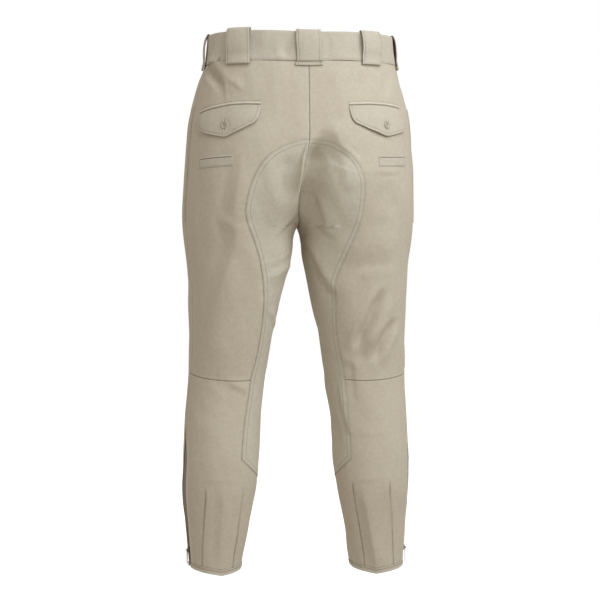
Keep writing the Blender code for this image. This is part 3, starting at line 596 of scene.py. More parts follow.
def newLook(name):
    look = bpy.data.materials.new(name)
    look.use_nodes = True
    look.node_tree.nodes.clear()
    return look, look.node_tree


def addNode(tree, kind, settings=None, links=None):
    # one node with its settings, its fixed inputs, and its links from (node, output)
    node = tree.nodes.new(kind)
    for key, value in (settings or {}).items():
        if isinstance(key, str) and hasattr(node, key):
            setattr(node, key, value)
        else:
            node.inputs[key].default_value = value
    for key, (source, output) in (links or {}).items():
        tree.links.new(source.outputs[output], node.inputs[key])
    return node


def addMath(tree, operation, *terms):
    # each term is a number or a (node, output)
    linked = {place: term for place, term in enumerate(terms) if isinstance(term, tuple)}
    fixed = {place: term for place, term in enumerate(terms) if place not in linked}
    return addNode(tree, "ShaderNodeMath", {"operation": operation, **fixed}, linked)


def addRamp(tree, source, stops):
    node = addNode(tree, "ShaderNodeValToRGB", {}, {"Fac": source})
    for element, (place, code) in zip(node.color_ramp.elements, stops):
        element.position = place
        element.color = linear(code)
    return node


def addNoise(tree, scale, detail, roughness, source):
    settings = {"Scale": scale, "Detail": detail, "Roughness": roughness}
    return addNode(tree, "ShaderNodeTexNoise", settings, {"Vector": source})


def addWaves(tree, way, spacing, distortion, detail, source):
    # bands, with their spacing in mm
    settings = {"wave_type": "BANDS", "bands_direction": way, "Scale": waveScale / (spacing * mm)}
    settings.update({"Distortion": distortion, "Detail": detail})
    return addNode(tree, "ShaderNodeTexWave", settings, {"Vector": source})


def addRange(tree, low, high, source):
    return addNode(tree, "ShaderNodeMapRange", {"To Min": low, "To Max": high}, {"Value": source})


def addBump(tree, strength, rise, source):
    settings = {"Strength": strength, "Distance": rise * mm}
    return addNode(tree, "ShaderNodeBump", settings, {"Height": source})


def addMix(tree, colour, code, share):
    settings = {"data_type": "RGBA", 7: linear(code)}
    return addNode(tree, "ShaderNodeMix", settings, {0: share, 6: colour})


def finishLook(look, settings, colour, rough, bump):
    tree = look.node_tree
    links = {"Base Color": colour, "Roughness": (rough, "Result"), "Normal": (bump, "Normal")}
    shader = addNode(tree, "ShaderNodeBsdfPrincipled", settings, links)
    addNode(tree, "ShaderNodeOutputMaterial", {}, {"Surface": (shader, "BSDF")})
    return look


waveScale = 0.314159  # a wave node's scale times the metres from one band to the next
twill = {
    # pale tone mixed in above zero: worn edges and painted highlights
    "worn": "#DCD3C3",
    # dark tone mixed in below zero: painted shade in seams, grooves and under edges
    "seam": "#85796A",
    "wale": 0.9,  # mm between the slanted ribs; a real 0.55 mm one would be too fine to show
    "yarn": 0.62,  # mm along a rib between its yarns
    "slope": 63,  # degrees of the ribs from level
    "roughness": (0.80, 0.92),
    "sheen": 0.16,
    "bump": 0.10,  # mm of rib height
}


def twillLook(name, light, dark):
    # woven cotton twill, piece dyed: matt, with fine slanted ribs and cloudy dye
    look, tree = newLook(name)
    flat = addNode(tree, "ShaderNodeUVMap", {"uv_map": "cloth"})
    slant = (0, 0, math.radians(90 - twill["slope"]))
    turned = addNode(tree, "ShaderNodeMapping", {"Rotation": slant}, {"Vector": (flat, "UV")})
    ribs = addWaves(tree, "X", twill["wale"], 0.7, 1.0, (turned, "Vector"))
    ribs.inputs["Detail Scale"].default_value = 1.2
    yarns = addWaves(tree, "Y", twill["yarn"], 0.5, 0.0, (turned, "Vector"))
    weave = addMath(tree, "MULTIPLY_ADD", (yarns, "Fac"), 0.35, (ribs, "Fac"))
    stretched = addNode(tree, "ShaderNodeMapping", {"Scale": (900, 60, 1)}, {"Vector": (flat, "UV")})
    slubs = addNoise(tree, 1.0, 2.0, 0.6, (stretched, "Vector"))
    place = addNode(tree, "ShaderNodeTexCoord")
    clouds = addNoise(tree, 9.0, 3.0, 0.55, (place, "Object"))
    specks = addNoise(tree, 160.0, 2.0, 0.6, (place, "Object"))
    mottled = addMath(tree, "MULTIPLY_ADD", (clouds, "Fac"), 0.35, (specks, "Fac"))
    slubbed = addMath(tree, "MULTIPLY_ADD", (slubs, "Fac"), 0.30, (mottled, "Value"))
    ribbed = addMath(tree, "MULTIPLY_ADD", (weave, "Value"), 0.16, (slubbed, "Value"))
    reach = {"From Min": 0.75, "From Max": 1.35}
    cloudy = addNode(tree, "ShaderNodeMapRange", reach, {"Value": (ribbed, "Value")})
    dye = addRamp(tree, (cloudy, "Result"), [(0.0, dark), (1.0, light)])
    # the per-point attribute read here lightens for worn edges and painted highlights and darkens for painted
    # shade in seams and grooves
    edge = addNode(tree, "ShaderNodeAttribute", {"attribute_name": "worn"})
    rubbedAndLit = addMix(tree, (dye, "Color"), twill["worn"], (edge, "Fac"))
    sunk = addMath(tree, "MULTIPLY", (edge, "Fac"), -1.0)
    shaded = addMix(tree, (rubbedAndLit, 2), twill["seam"], (sunk, "Value"))
    rough = addRange(tree, *twill["roughness"], (specks, "Fac"))
    bump = addBump(tree, 0.55, twill["bump"], (weave, "Value"))
    uneven = addBump(tree, 0.35, 0.25, (specks, "Fac"))
    tree.links.new(bump.outputs["Normal"], uneven.inputs["Normal"])
    settings = {"Metallic": 0.0, "IOR": 1.5, "Specular IOR Level": 0.28}
    tint = (0.95, 0.93, 0.88, 1)
    settings.update({"Sheen Weight": twill["sheen"], "Sheen Roughness": 0.45, "Sheen Tint": tint})
    return finishLook(look, settings, (shaded, 2), rough, uneven)


def plainLook(name, light, dark, metallic, roughness, grain, spread, coat=0.0, ior=1.5):
    # a finish on Object coordinates: two close colours, uneven roughness and a fine bump
    look, tree = newLook(name)
    place = addNode(tree, "ShaderNodeTexCoord")
    cells = addNoise(tree, 1 / (grain * mm), 3.0, 0.6, (place, "Object"))
    colour = addRamp(tree, (cells, "Fac"), [(0.3, dark), (0.72, light)])
    rough = addRange(tree, roughness - spread, roughness + spread, (cells, "Fac"))
    bump = addBump(tree, 0.4, 0.06, (cells, "Fac"))
    settings = {"Metallic": metallic, "Coat Weight": coat, "Coat Roughness": 0.2}
    if not metallic:
        settings["IOR"] = ior
    return finishLook(look, settings, (colour, "Color"), rough, bump)


zipTape = {"light": "#9C9182", "dark": "#82776A", "rib": 0.9}


def tapeLook(name):
    # woven polyester zip tape: herringbone ribs along its length
    look, tree = newLook(name)
    flat = addNode(tree, "ShaderNodeUVMap", {"uv_map": "cloth"})
    ribs = addWaves(tree, "DIAGONAL", zipTape["rib"], 1.2, 1.0, (flat, "UV"))
    colour = addRamp(tree, (ribs, "Fac"), [(0.0, zipTape["dark"]), (1.0, zipTape["light"])])
    bump = addBump(tree, 0.6, 0.15, (ribs, "Fac"))
    rough = addRange(tree, 0.78, 0.9, (ribs, "Fac"))
    return finishLook(look, {"IOR": 1.5, "Specular IOR Level": 0.3}, (colour, "Color"), rough, bump)


panelTwill = twillLook("piece_dyed_cotton_twill", "#CBBFAC", "#C0B39F")
patchTwill = twillLook("cotton_twill_patch", "#D0C6B3", "#C3B9A6")
trimTwill = twillLook("pressed_cotton_twill", "#CBC1AF", "#C0B5A3")
threadLook = plainLook("spun_polyester_thread", "#A99D88", "#8E8370", 0.0, 0.7, 0.5, 0.08)
resinLook = plainLook("polished_polyester_resin", "#C0B49E", "#A2957F", 0.0, 0.34, 1.6, 0.06, 0.25, 1.55)
metalLook = plainLook("antique_brass_plated_zinc", "#968B7A", "#7A705F", 1.0, 0.46, 0.7, 0.07)
zipTapeLook = tapeLook("woven_polyester_tape")
print("materials ready")

# Patch outline: height, reach from the middle plane, height of the inner edge's point that
# the cloth is spread toward from there

patchShape = {
    "arch": {
        1: [
            (-159.5, 2, -161), (-160.5, 15, -171), (-164, 27, -182), (-170, 41, -196), (-178, 56, -210),
            (-190, 71, -224), (-206, 83, -240), (-226, 93, -257), (-250, 100, -276), (-276, 104, -294),
            (-300, 100, -311), (-329, 88, -333), (-352, 80, -354), (-377, 74, -377), (-413, 69.5, -413),
            (-456, 69.5, -456), (-500, 73, -500), (-533, 78, -533), (-563, 85, -563), (-601, 91, -602),
            (-650, 98, -652), (-703, 103, -712),
        ],
        -1: [
            (-158.2, 3, -160), (-159.2, 20, -174), (-162.5, 38, -190), (-170, 53, -205), (-181, 69, -219),
            (-196, 83, -233), (-212, 91, -246), (-232, 97, -261), (-258, 98, -280), (-280, 96.5, -296),
            (-307, 91, -316), (-342, 78, -346), (-377, 64, -378), (-404, 58.5, -405), (-451, 60, -451),
            (-500, 65, -500), (-542, 74, -542), (-567, 79, -567), (-602, 84, -602), (-650, 87, -652),
            (-703, 90, -712),
        ],
    },
    "end": {
        1: [(-703, 103, -712), (-718, 88, -727), (-740, 66, -743)],
        -1: [(-703, 90, -712), (-718, 78, -727), (-740, 62, -743)],
    },
    "lift": 0.25,
    "wall": 0.7,
    "needles": (1.7, 7.8),  # two rows of stitching, from the edge
    # painted shade along the two rows of stitching
    "needleShade": (0.2, 0.28),
    "close": (0, 0.3, 0.7, 1.2, 1.7, 2.3, 3.2, 4.6, 6.0, 7.0, 7.8, 8.6, 9.6, 11, 13),  # rows from the edge
    "threadSunk": 0.22,
    "length": 586,
}


def runAtReach(height, reach):
    # distance from the side seam at which the back panel lies that far from the middle plane
    xs, _, widths = sections["back"]
    low, _ = levelPlace(np.array([height]))
    row = xs[low[0]]
    first = row.argmax()
    return float(np.interp(-reach, -row[first:], shares[first:] * widths[low[0]]))


def patchOutline(side):
    # the outline as (distance round from the inner edge, height), and its inner ends
    arch, end = (np.array(patchShape[key][side], float)[:, [1, 0, 2]] for key in ("arch", "end"))
    share = np.linspace(0, 1, 26)
    corner = np.stack([np.interp(share, [0, 0.5, 1], end[:, k]) for k in range(3)], -1)
    line = np.vstack([curveThrough(arch, 270), corner[1:]])
    around = []
    for reach, height, _ in line:
        width = float(widthAt("back", height * mm))
        around.append(max(width - runAtReach(height * mm, reach * mm), 0.0))
    return np.stack([around, line[:, 1] * mm], -1), line[:, 2] * mm


patchLines = {side: patchOutline(side) for side in (1, -1)}

# Zip window: height, half the gap between the calf panels

zipShape = {
    "window": [
        (-910, 7), (-850, 8), (-812, 9.5), (-775, 11), (-735, 11), (-690, 7), (-660, 2), (-645, 0),
        (-600, 0), (40, 0),
    ],
    "top": -650,
    "foot": -892,
    "wider": {1: 3.6, -1: 2.4},  # how much more the back panel stands clear of the teeth
    "depth": 2.4,
    # how far the middle stands out over the calf, and the heights where that fades in and out
    "bulge": {1: 3.4, -1: 2.4},
    "bulgeFoot": (-850, 70),
    "bulgeTop": (-660, 50),
    "tuck": (3.2, 2.6),  # goes in under the cloth edges
    "across": (0.7, 2, 3.4, 4.6, 6, 7.5, 9.2, 11, 14.2, 15),
    "cord": (0.5, 3.9, 0.8),  # raised edge beside the teeth
    "wall": 0.8,
}


def zipWindow(height, side=1, panel="front"):
    half = readRows(zipShape["window"], height)
    return half if panel == "front" else half + zipShape["wider"][side] * mm * smooth(half / (9 * mm))


def dipShape(share, height):
    # how far across a back panel its rows dip: a soft bow, coming to a point at the hem
    bow = np.sin(math.pi * share)
    point = 1 - np.abs(2 * share - 1)
    part = 0.9 * smooth((-0.815 - height) / 0.06)
    return bow * (1 - part) + point * part


seamShape = {
    "closeSteps": (0.35, 0.4, 0.5, 0.6, 0.8, 1.0, 1.3, 1.7, 2.1),
    "roll": 1.05,
    "reach": 2.3,
    "pucker": 0.22,
    "puckerReach": 8,
    "line": 0.95,  # half width of the painted shade down in a seam
    "shade": 0.65,
    "tuck": 0.7,  # how far an edge sinks under the band or the hem
    "zipEdgeLight": 0.7,  # painted highlight: paler cloth along the lapped edge beside the zip
}

bandShape = {
    "top": 25.5,
    "foot": -26.6,
    "lowest": -36,  # of what hangs from the band
    "proud": 1.1,
    "wall": 1.5,
    "step": 2.4,
    "needle": 2.4,  # stitching above the foot
    # how much the worn band's two edges rise, at signed distances round from the back
    "places": (-452, -330, -212, -165, -120, -60, 0, 60, 118, 165, 232, 330, 452),
    "topRise": (0, 0.5, 1.6, 2.0, 2.2, 1.2, 0, 2.2, 3.4, 3.2, 2.0, 0.5, 0),
    "footRise": (0, 1.0, 3.8, 4.8, 5.2, 4.2, 2.2, 3.0, 3.6, 3.4, 2.6, 1.0, 0),
}


def bandFoot(distance):
    return (bandShape["foot"] + np.interp(distance / mm, bandShape["places"], bandShape["footRise"])) * mm


def bandLift(distance, height):
    # rise of a place on the worn band above its plain height
    keys = ("topRise", "footRise")
    top, foot = (np.interp(distance / mm, bandShape["places"], bandShape[key]) * mm for key in keys)
    share = (height / mm - bandShape["foot"]) / (bandShape["top"] - bandShape["foot"])
    return foot + (top - foot) * np.clip(share, 0, 1.06)


# Panels

panels = {
    "wall": 1.2,
    "frontStep": 3.6,
    "backStep": 2.6,
    "calfStep": 2.3,
    "across": 250,  # about a panel's width, and a calf's
    "calfAcross": 190,
    "waistTop": -16,
    "kneeSeam": -557,
    "hemSeam": -884,
    "seamGap": 0.1,
    "kneeDip": 13,  # lower at the middle of the back than at its sides
    "hemDip": 12,
    # painted shade on the panel along the patch's edge
    "patchShade": 0.2,
}
stitchLines = []


def sew(points):
    # keeps a line of stitching for the thread to be run along
    stitchLines.append(np.asarray(points, float))


def panelGrid(side, panel, top, foot, step, split=None):
    # shares across and levels down one panel, with distances to its edges
    span = top - foot
    down = gradedSteps(span, step, seamShape["closeSteps"])
    heights = (top - down) * mm
    if split:
        share = split(heights)
    else:
        across = gradedSteps(panels["across"], step, seamShape["closeSteps"]) / panels["across"]
        share = np.broadcast_to(across, (len(heights), len(across)))
    level = np.broadcast_to(heights[:, None], share.shape)
    dip = readRows(rowDips, level) * dipShape(share, level) if panel == "back" else 0
    drop = smooth((top * mm - level) / (40 * mm)) if top == panels["waistTop"] else 1
    level = level - dip * drop
    window = zipWindow(level, side, panel)
    width = widthAt(panel, level)
    run = window + easedRun(panel, share, level) * (width - window) / width
    gap = panels["seamGap"] * mm
    run = np.clip(run, gap, width - gap)
    return level, run, width, heights


def seamLifts(side, panel, run, width, level, heights, top, foot, seed):
    # how the cloth turns into the seams round a panel, with its puckers
    roll, reach = seamShape["roll"] * mm, seamShape["reach"] * mm
    window = zipWindow(level, side, panel)
    toSide, toInner = run - window, width - run
    toTop = (heights[0] - heights)[:, None] + 0 * run
    toFoot = (heights - heights[-1])[:, None] + 0 * run
    lift = edgeRoll(toSide, roll, reach) + edgeRoll(toInner, roll, reach)
    size, far = seamShape["pucker"] * mm, seamShape["puckerReach"] * mm
    lift += pucker(toSide, level, 0.9 * size, far, seed) + pucker(toInner, level, size, far, seed + 1)
    zipped = smooth((window - 2 * mm) / (4 * mm))
    nearest = np.minimum(toSide + 4 * mm * zipped, toInner)
    if top == panels["waistTop"]:
        # the upper edge lies inside the band
        distance = side * (widthAt("back", level) - run if panel == "back" else widthAt("back", level) + run)
        below = bandFoot(distance) - level
        lift = lift * smooth(below / (3 * mm))
        lift = lift - seamShape["tuck"] * mm * smooth((0.4 * mm - below) / (1.8 * mm))
        toTop = np.maximum(below, 0)
    else:
        lift += edgeRoll(toTop, roll * 1.2, reach)
    if foot == panels["hemSeam"]:
        # the lower edge lies inside the hem
        lift -= seamShape["tuck"] * mm * smooth((3.2 * mm - toFoot) / (1.6 * mm))
        toFoot = toFoot + 1 * mm
    else:
        lift += edgeRoll(toFoot, roll * 1.1, reach)
    lift += pucker(toTop, run, size * 0.8, far * 1.3, seed + 2)
    lift += pucker(toFoot, run, size * 1.2, far * 1.3, seed + 3)
    nearest = np.minimum(nearest, np.minimum(toTop, toFoot))
    # painted shade down each seam, a faint painted highlight on the roll beside it, and a painted highlight
    # along the lapped edge by the zip
    worn = 0.1 * bell(nearest, 2.4 * mm, 1.2 * mm)
    worn = worn - seamShape["shade"] * bell(nearest, 0, seamShape["line"] * mm)
    worn = worn + seamShape["zipEdgeLight"] * zipped * bell(toSide, 0, 7.5 * mm)
    return lift, worn


def patchSide(side, run, width, level):
    # distance from the patch's edge on the panel round it, and along that edge
    line, _ = patchLines[side]
    near = (level < -130 * mm) & (width - run < 190 * mm)
    distance, along = np.full(run.shape, 1.0), np.zeros(run.shape)
    plain = onForm(side, "back", run[near], level[near])
    border = onForm(side, "back", widthAt("back", line[:, 1]) - line[:, 0], line[:, 1])
    distance[near], along[near] = toLine(plain, border)
    return distance, along


def makePanel(name, side, panel, run, level, points, worn):
    flat = np.stack([run, level], -1)
    outward = (0, -1, 0) if panel == "front" else (0, 1, 0)
    node, wall = name + sideNames[side], panels["wall"]
    makeSheet(node, points, flat, wall, panelTwill, worn, outward)


def makeFront(side):
    top, foot = panels["waistTop"], panels["hemSeam"]
    level, run, width, heights = panelGrid(side, "front", top, foot, panels["frontStep"])
    lift, worn = seamLifts(side, "front", run, width, level, heights, top, foot, 3 + side)
    points = clothAt(side, "front", run, level, lift)
    makePanel("front_", side, "front", run, level, points, worn)


def makeBackUpper(side):
    top, foot = panels["waistTop"], panels["kneeSeam"]
    level, run, width, heights = panelGrid(side, "back", top, foot, panels["backStep"])
    lift, worn = seamLifts(side, "back", run, width, level, heights, top, foot, 8 + side)
    distance, along = patchSide(side, run, width, level)
    lift = lift + pucker(distance, along, 0.3 * mm, 7 * mm, 5 + side)
    # painted shade on the panel along the patch's edge
    worn = worn - panels["patchShade"] * bell(distance, 0, 1.0 * mm)
    points = clothAt(side, "back", run, level, lift)
    makePanel("back_upper_", side, "back", run, level, points, worn)


# Calf darts: each as (distance round from the inseam, height) at its top and at the hem

calfDarts = {
    1: {"outer": ((139, -747), (105, -886)), "inner": ((72, -748), (47, -886))},
    -1: {"outer": ((132, -738), (102, -887)), "inner": ((65, -740), (47, -886))},
    "depth": 1.25,
    "width": 0.9,
    "fade": 14,  # from the dart's point down
    "fullness": (0.35, 2.4, 1.6),  # rise beside the seam, its distance and its width
    # painted shade down each dart
    "shade": 0.8,
}


def dartShares(side, key, heights):
    (topAround, top), (footAround, foot) = calfDarts[side][key]
    height = np.clip(heights, foot * mm, top * mm)
    around = np.interp(height, [foot * mm, top * mm], [footAround * mm, topAround * mm])
    return 1 - around / widthAt("back", height)


def makeBackLower(side):
    top, foot = panels["kneeSeam"], panels["hemSeam"]
    tops = [float(dartShares(side, key, np.zeros(1))[0]) for key in ("outer", "inner")]
    wide = panels["calfAcross"]
    seams = [share * wide for share in tops]
    across = gradedSteps(wide, panels["calfStep"], seamShape["closeSteps"], alsoAt=seams) / wide

    def follow(heights):
        outer, inner = dartShares(side, "outer", heights), dartShares(side, "inner", heights)
        return np.stack([np.interp(across, [0, *tops, 1], [0, a, b, 1]) for a, b in zip(outer, inner)])

    level, run, width, heights = panelGrid(side, "back", top, foot, panels["calfStep"], split=follow)
    lift, worn = seamLifts(side, "back", run, width, level, heights, top, foot, 14 + side)
    distance, along = patchSide(side, run, width, level)
    lift = lift + pucker(distance, along, 0.22 * mm, 6 * mm, 7 + side)
    # painted shade on the panel along the patch's edge
    worn = worn - panels["patchShade"] * bell(distance, 0, 1.0 * mm)
    for key in ("outer", "inner"):
        start = calfDarts[side][key][0][1]
        beside = run - dartShares(side, key, level) * widthAt("back", level)
        fade = smooth((start - level / mm) / calfDarts["fade"])
        rise, place, reach = calfDarts["fullness"]
        lift = lift + fade * groove(beside, calfDarts["depth"] * mm, calfDarts["width"] * mm)
        lift = lift + fade * rise * mm * bell(beside, place * mm, reach * mm)
        lift = lift + fade * pucker(np.abs(beside), level, 0.16 * mm, 5 * mm, 20 + side)
        # painted shade down the dart's groove
        worn = worn - calfDarts["shade"] * fade * bell(beside, 0, seamShape["line"] * mm)
    points = clothAt(side, "back", run, level, lift)
    makePanel("back_lower_", side, "back", run, level, points, worn)


def makePatch(side):
    # reinforcement of the seat and inner leg, double stitched along its edge
    line, ends = patchLines[side]
    inner = np.stack([np.zeros(len(ends)), ends], -1)
    fine = np.linspace(0, 1, 90)

    def plain(spots):
        run = widthAt("back", spots[..., 1]) - spots[..., 0]
        return onForm(side, "back", np.maximum(run, 0), spots[..., 1])

    border = plain(line)
    close = np.array(patchShape["close"]) * mm
    rest = np.concatenate([np.linspace(0, 1, 35)[1:-1], [0.985, 0.993, 0.9975, 1]])
    rays = line[:, None] + (inner - line)[:, None] * fine[None, :, None]
    gone = np.maximum.accumulate(toLine(plain(rays), border)[0], axis=1) + fine * 1e-6
    grid = np.zeros((len(line), len(close) + len(rest), 2))
    for k in range(len(line)):
        firm = np.interp(close * min(1, 0.6 * gone[k, -1] / close[-1]), gone[k], fine)
        places = np.concatenate([firm, firm[-1] + rest * (1 - firm[-1])])
        grid[k] = line[k] + places[:, None] * (inner[k] - line[k])
    around, level = np.maximum(grid[..., 0], panels["seamGap"] * mm), grid[..., 1]
    width = widthAt("back", level)
    run = np.clip(width - around, 0, width - panels["seamGap"] * mm)
    edge, along = toLine(plain(grid), border)
    lift = (patchShape["lift"] + patchShape["wall"]) * mm + edgeRoll(edge, 0.6 * mm, 0.9 * mm)
    for needle in patchShape["needles"]:
        lift = lift + groove(edge - needle * mm, 0.2 * mm, 0.8 * mm)
    lift = lift + pucker(edge, along, 0.2 * mm, 8 * mm, 5 + side)
    toInner = width - run
    lift = lift + edgeRoll(toInner, 1.5 * mm, 2.4 * mm) + pucker(toInner, level, 0.2 * mm, 7 * mm, 9 + side)
    # painted shade along the patch's outer and inner edges and down its two rows of stitching
    worn = -0.5 * bell(edge, 0, 0.6 * mm) - 0.6 * bell(toInner, 0, 0.9 * mm)
    for needle, dark in zip(patchShape["needles"], patchShape["needleShade"]):
        worn = worn - dark * bell(edge, needle * mm, 0.8 * mm)
    points = clothAt(side, "back", run, level, lift)
    middle = (points.shape[0] // 2, points.shape[1] // 2)
    outward = facing(side, "back", run[middle], level[middle])
    flat = np.stack([run, level], -1)
    node = "seat_patch_" + sideNames[side]
    wall = patchShape["wall"]
    makeSheet(node, points, flat, wall, patchTwill, worn, outward)
    for needle in patchShape["needles"]:
        share = np.array([np.interp(needle * mm, gone[k], fine) for k in range(len(line))])
        path = line + share[:, None] * (inner - line)
        path = path[(path[:, 0] > 1.5 * mm) & (gone[:, -1] > 2 * needle * mm)]
        lift = (patchShape["lift"] + patchShape["wall"] - patchShape["threadSunk"]) * mm
        sew(backSpots(side, path[:, 0], path[:, 1], lift))


for side in (1, -1):
    makeFront(side)
    makeBackUpper(side)
    makeBackLower(side)
    makePatch(side)
print("panels and patches made")

# Hems: a narrow turned band round the foot of each leg, pointed at the centre back

hemShape = {
    "top": -882.9,
    "foot": -892,
    "proud": 0.6,
    "wall": 1.4,
    "step": 2.4,
    "shown": 11.6,  # face and folded edge
    "needle": 1.9,
    "close": (0.3, 0.4, 0.6, 0.8),
    "rows": (0, 0.25, 0.6, 1.1, 1.6, 2.2, 3.0, 4.4, 5.8, 7.2, 8.1, 8.7),
    "dip": 12,
}


def hemLine(side, height, frontShares, backShares, lift):
    # one level line round a leg, from the zip forward over the shin and back to the zip
    level = np.full(len(frontShares), height)
    window, width = zipWindow(level, side, "front"), widthAt("front", level)
    run = window + frontShares * (width - window)
    ahead = clothAt(side, "front", run, level, lift + pucker(0.004 + 0 * run, run, 0.12 * mm, 0.02, 3))
    level = height - hemShape["dip"] * mm * dipShape(backShares, height)
    window, width = zipWindow(level, side, "back"), widthAt("back", level)
    back = window + backShares * (width - window)
    behind = clothAt(side, "back", back, level, lift + pucker(0.004 + 0 * back, back, 0.12 * mm, 0.02, 5))
    around = np.concatenate([run, run[-1] + back[0] - back[1:]])
    return np.vstack([ahead, behind[1:]]), around


def makeHem(side):
    frontShares = gradedSteps(130, hemShape["step"], hemShape["close"]) / 130
    backShares = 1 - gradedSteps(140, hemShape["step"], hemShape["close"]) / 140
    total = hemShape["top"] - hemShape["foot"]
    down = np.array([*hemShape["rows"], total])
    lift = hemShape["proud"] * mm + edgeRoll(down * mm, 0.8 * mm, 1.1 * mm)
    lift = lift + edgeRoll((total - down) * mm, 0.9 * mm, 1.6 * mm)
    lift = lift + groove(down * mm - hemShape["needle"] * mm, 0.2 * mm, 0.6 * mm)
    places = (hemShape["top"] - down) * mm
    lines = [hemLine(side, level, frontShares, backShares, rise) for level, rise in zip(places, lift)]
    points = np.stack([line for line, _ in lines])
    around = np.stack([around for _, around in lines])
    flat = np.stack([around, np.broadcast_to(-down[:, None] * mm, around.shape)], -1)
    # painted shade along the stitching groove; paler towards the folded foot
    worn = -0.5 * bell(down, hemShape["needle"], 0.7) + 0.55 * smooth((down - 4.5) / 2.5)
    node = "hem_" + sideNames[side]
    # its middle lies at the inseam, facing the other leg
    makeSheet(node, points, flat, hemShape["wall"], trimTwill, worn[:, None], (-side, 0, 0))
    sew(hemLine(side, (hemShape["top"] - hemShape["needle"]) * mm, frontShares, backShares, 0.95 * mm)[0])


for side in (1, -1):
    makeHem(side)

# Waistband, loops and the lap at the front

# dents and swells of the band: rise, width, path of (signed distance round from the back, height)
bandFolds = [
    (-2.6, 6, [(24, 22), (33, 8), (38, -10)]),
    (1.0, 8, [(44, 24), (52, 6), (50, -16)]),
    (-1.0, 10, [(90, 24), (88, 0), (84, -20)]),
    (-1.8, 8, [(148, 22), (152, 0), (158, -22)]),
    (1.2, 9, [(172, 18), (176, -6), (172, -24)]),
    (-1.1, 7, [(-30, 24), (-36, 4), (-32, -20)]),
    (0.7, 12, [(-62, 20), (-70, -4), (-66, -22)]),
    (-1.2, 7, [(-92, 20), (-96, 0), (-94, -18)]),
    (-1.3, 8, [(-150, 20), (-154, 0), (-156, -22)]),
    (-1.0, 14, [(250, 16), (262, -4), (258, -22)]),
    (-0.9, 13, [(-254, 18), (-260, 0), (-268, -20)]),
]


def waistAt(distance, height, lift):
    # points of the waist for arrays of signed distances; heights past the band keep its shape
    given = (np.asarray(part, float) for part in (distance, height, lift))
    distance, height, lift = np.broadcast_arrays(*given)
    height = height + bandLift(distance, height)
    level = np.clip(height, bandShape["lowest"] * mm, bandShape["top"] * mm)
    back = widthAt("back", level)
    size = np.abs(distance)
    out = np.zeros(distance.shape + (3,))
    for side in (1, -1):
        for panel in ("back", "front"):
            chosen = (np.sign(distance + 1e-9) == side) & ((size <= back) == (panel == "back"))
            if not chosen.any():
                continue
            run = np.where(panel == "back", back - size, size - back)[chosen]
            plain = onForm(side, panel, run, level[chosen])
            normal = facing(side, panel, run, level[chosen])
            normal[:, 2] = 0
            normal = unit(normal)
            rise = clothRise(plain) + bandRise(distance[chosen], level[chosen]) + lift[chosen]
            points = plain + normal * rise[:, None]
            points[:, 2] = height[chosen]
            out[chosen] = points
    return out


bandPaths = [(rise * mm, width * mm, curveThrough(path, 16) * mm) for rise, width, path in bandFolds]


def bandRise(distance, height):
    rise = np.zeros(distance.shape)
    for size, width, path in bandPaths:
        gap, _ = toLine(np.stack([distance, height], -1), path)
        rise += size * bell(gap, 0, width)
    return rise * smooth((height + 32 * mm) / (10 * mm))


def waistReach():
    return float(widthAt("back", 0.0) + widthAt("front", 0.0))


def makeBand(side):
    span = bandShape["top"] - bandShape["foot"]
    down = gradedSteps(span, bandShape["step"], (0.3, 0.4, 0.5, 0.7, 0.9, 1.1))
    total = waistReach() / mm
    across = gradedSteps(total - 0.2, bandShape["step"], (0.3, 0.5, 0.7, 1.0)) + 0.1
    height = np.broadcast_to((bandShape["top"] - down)[:, None] * mm, (len(down), len(across)))
    distance = np.broadcast_to(across[None] * mm, height.shape)
    toTop, toFoot = down[:, None] * mm, (span - down)[:, None] * mm
    lift = bandShape["proud"] * mm + edgeRoll(toTop, 0.9 * mm, 1.6 * mm) + edgeRoll(toFoot, 0.5 * mm, 1.1 * mm)
    lift = lift + groove(toFoot - bandShape["needle"] * mm, 0.2 * mm, 0.6 * mm)
    lift = lift + edgeRoll(distance, 0.8 * mm, 1.6 * mm)
    lift = lift + pucker(toFoot, distance, 0.16 * mm, 8 * mm, 30 + side)
    lift = lift + pucker(toTop, distance, 0.12 * mm, 7 * mm, 40 + side)
    points = waistAt(side * distance, height, lift)
    # painted highlights below the top edge and just above the foot, painted shade along both edges and the
    # stitching
    worn = 0.25 * bell(toTop, 2 * mm, 1.2 * mm) - 0.4 * bell(toTop, 0, 0.9 * mm)
    worn = worn - 0.6 * bell(toFoot, 0, 0.9 * mm)
    worn = worn + 0.3 * bell(toFoot, 1.5 * mm, 0.6 * mm) - 0.2 * bell(toFoot, 2.9 * mm, 0.7 * mm)
    flat = np.stack([distance, height], -1)
    node = "waistband_" + sideNames[side]
    makeSheet(node, points, flat, bandShape["wall"], trimTwill, worn, (side, 0, 0))
    path = np.linspace(3 * mm, waistReach() - 4 * mm, 260)
    sew(waistAt(side * path, (bandShape["foot"] + bandShape["needle"]) * mm, (bandShape["proud"] - 0.12) * mm))


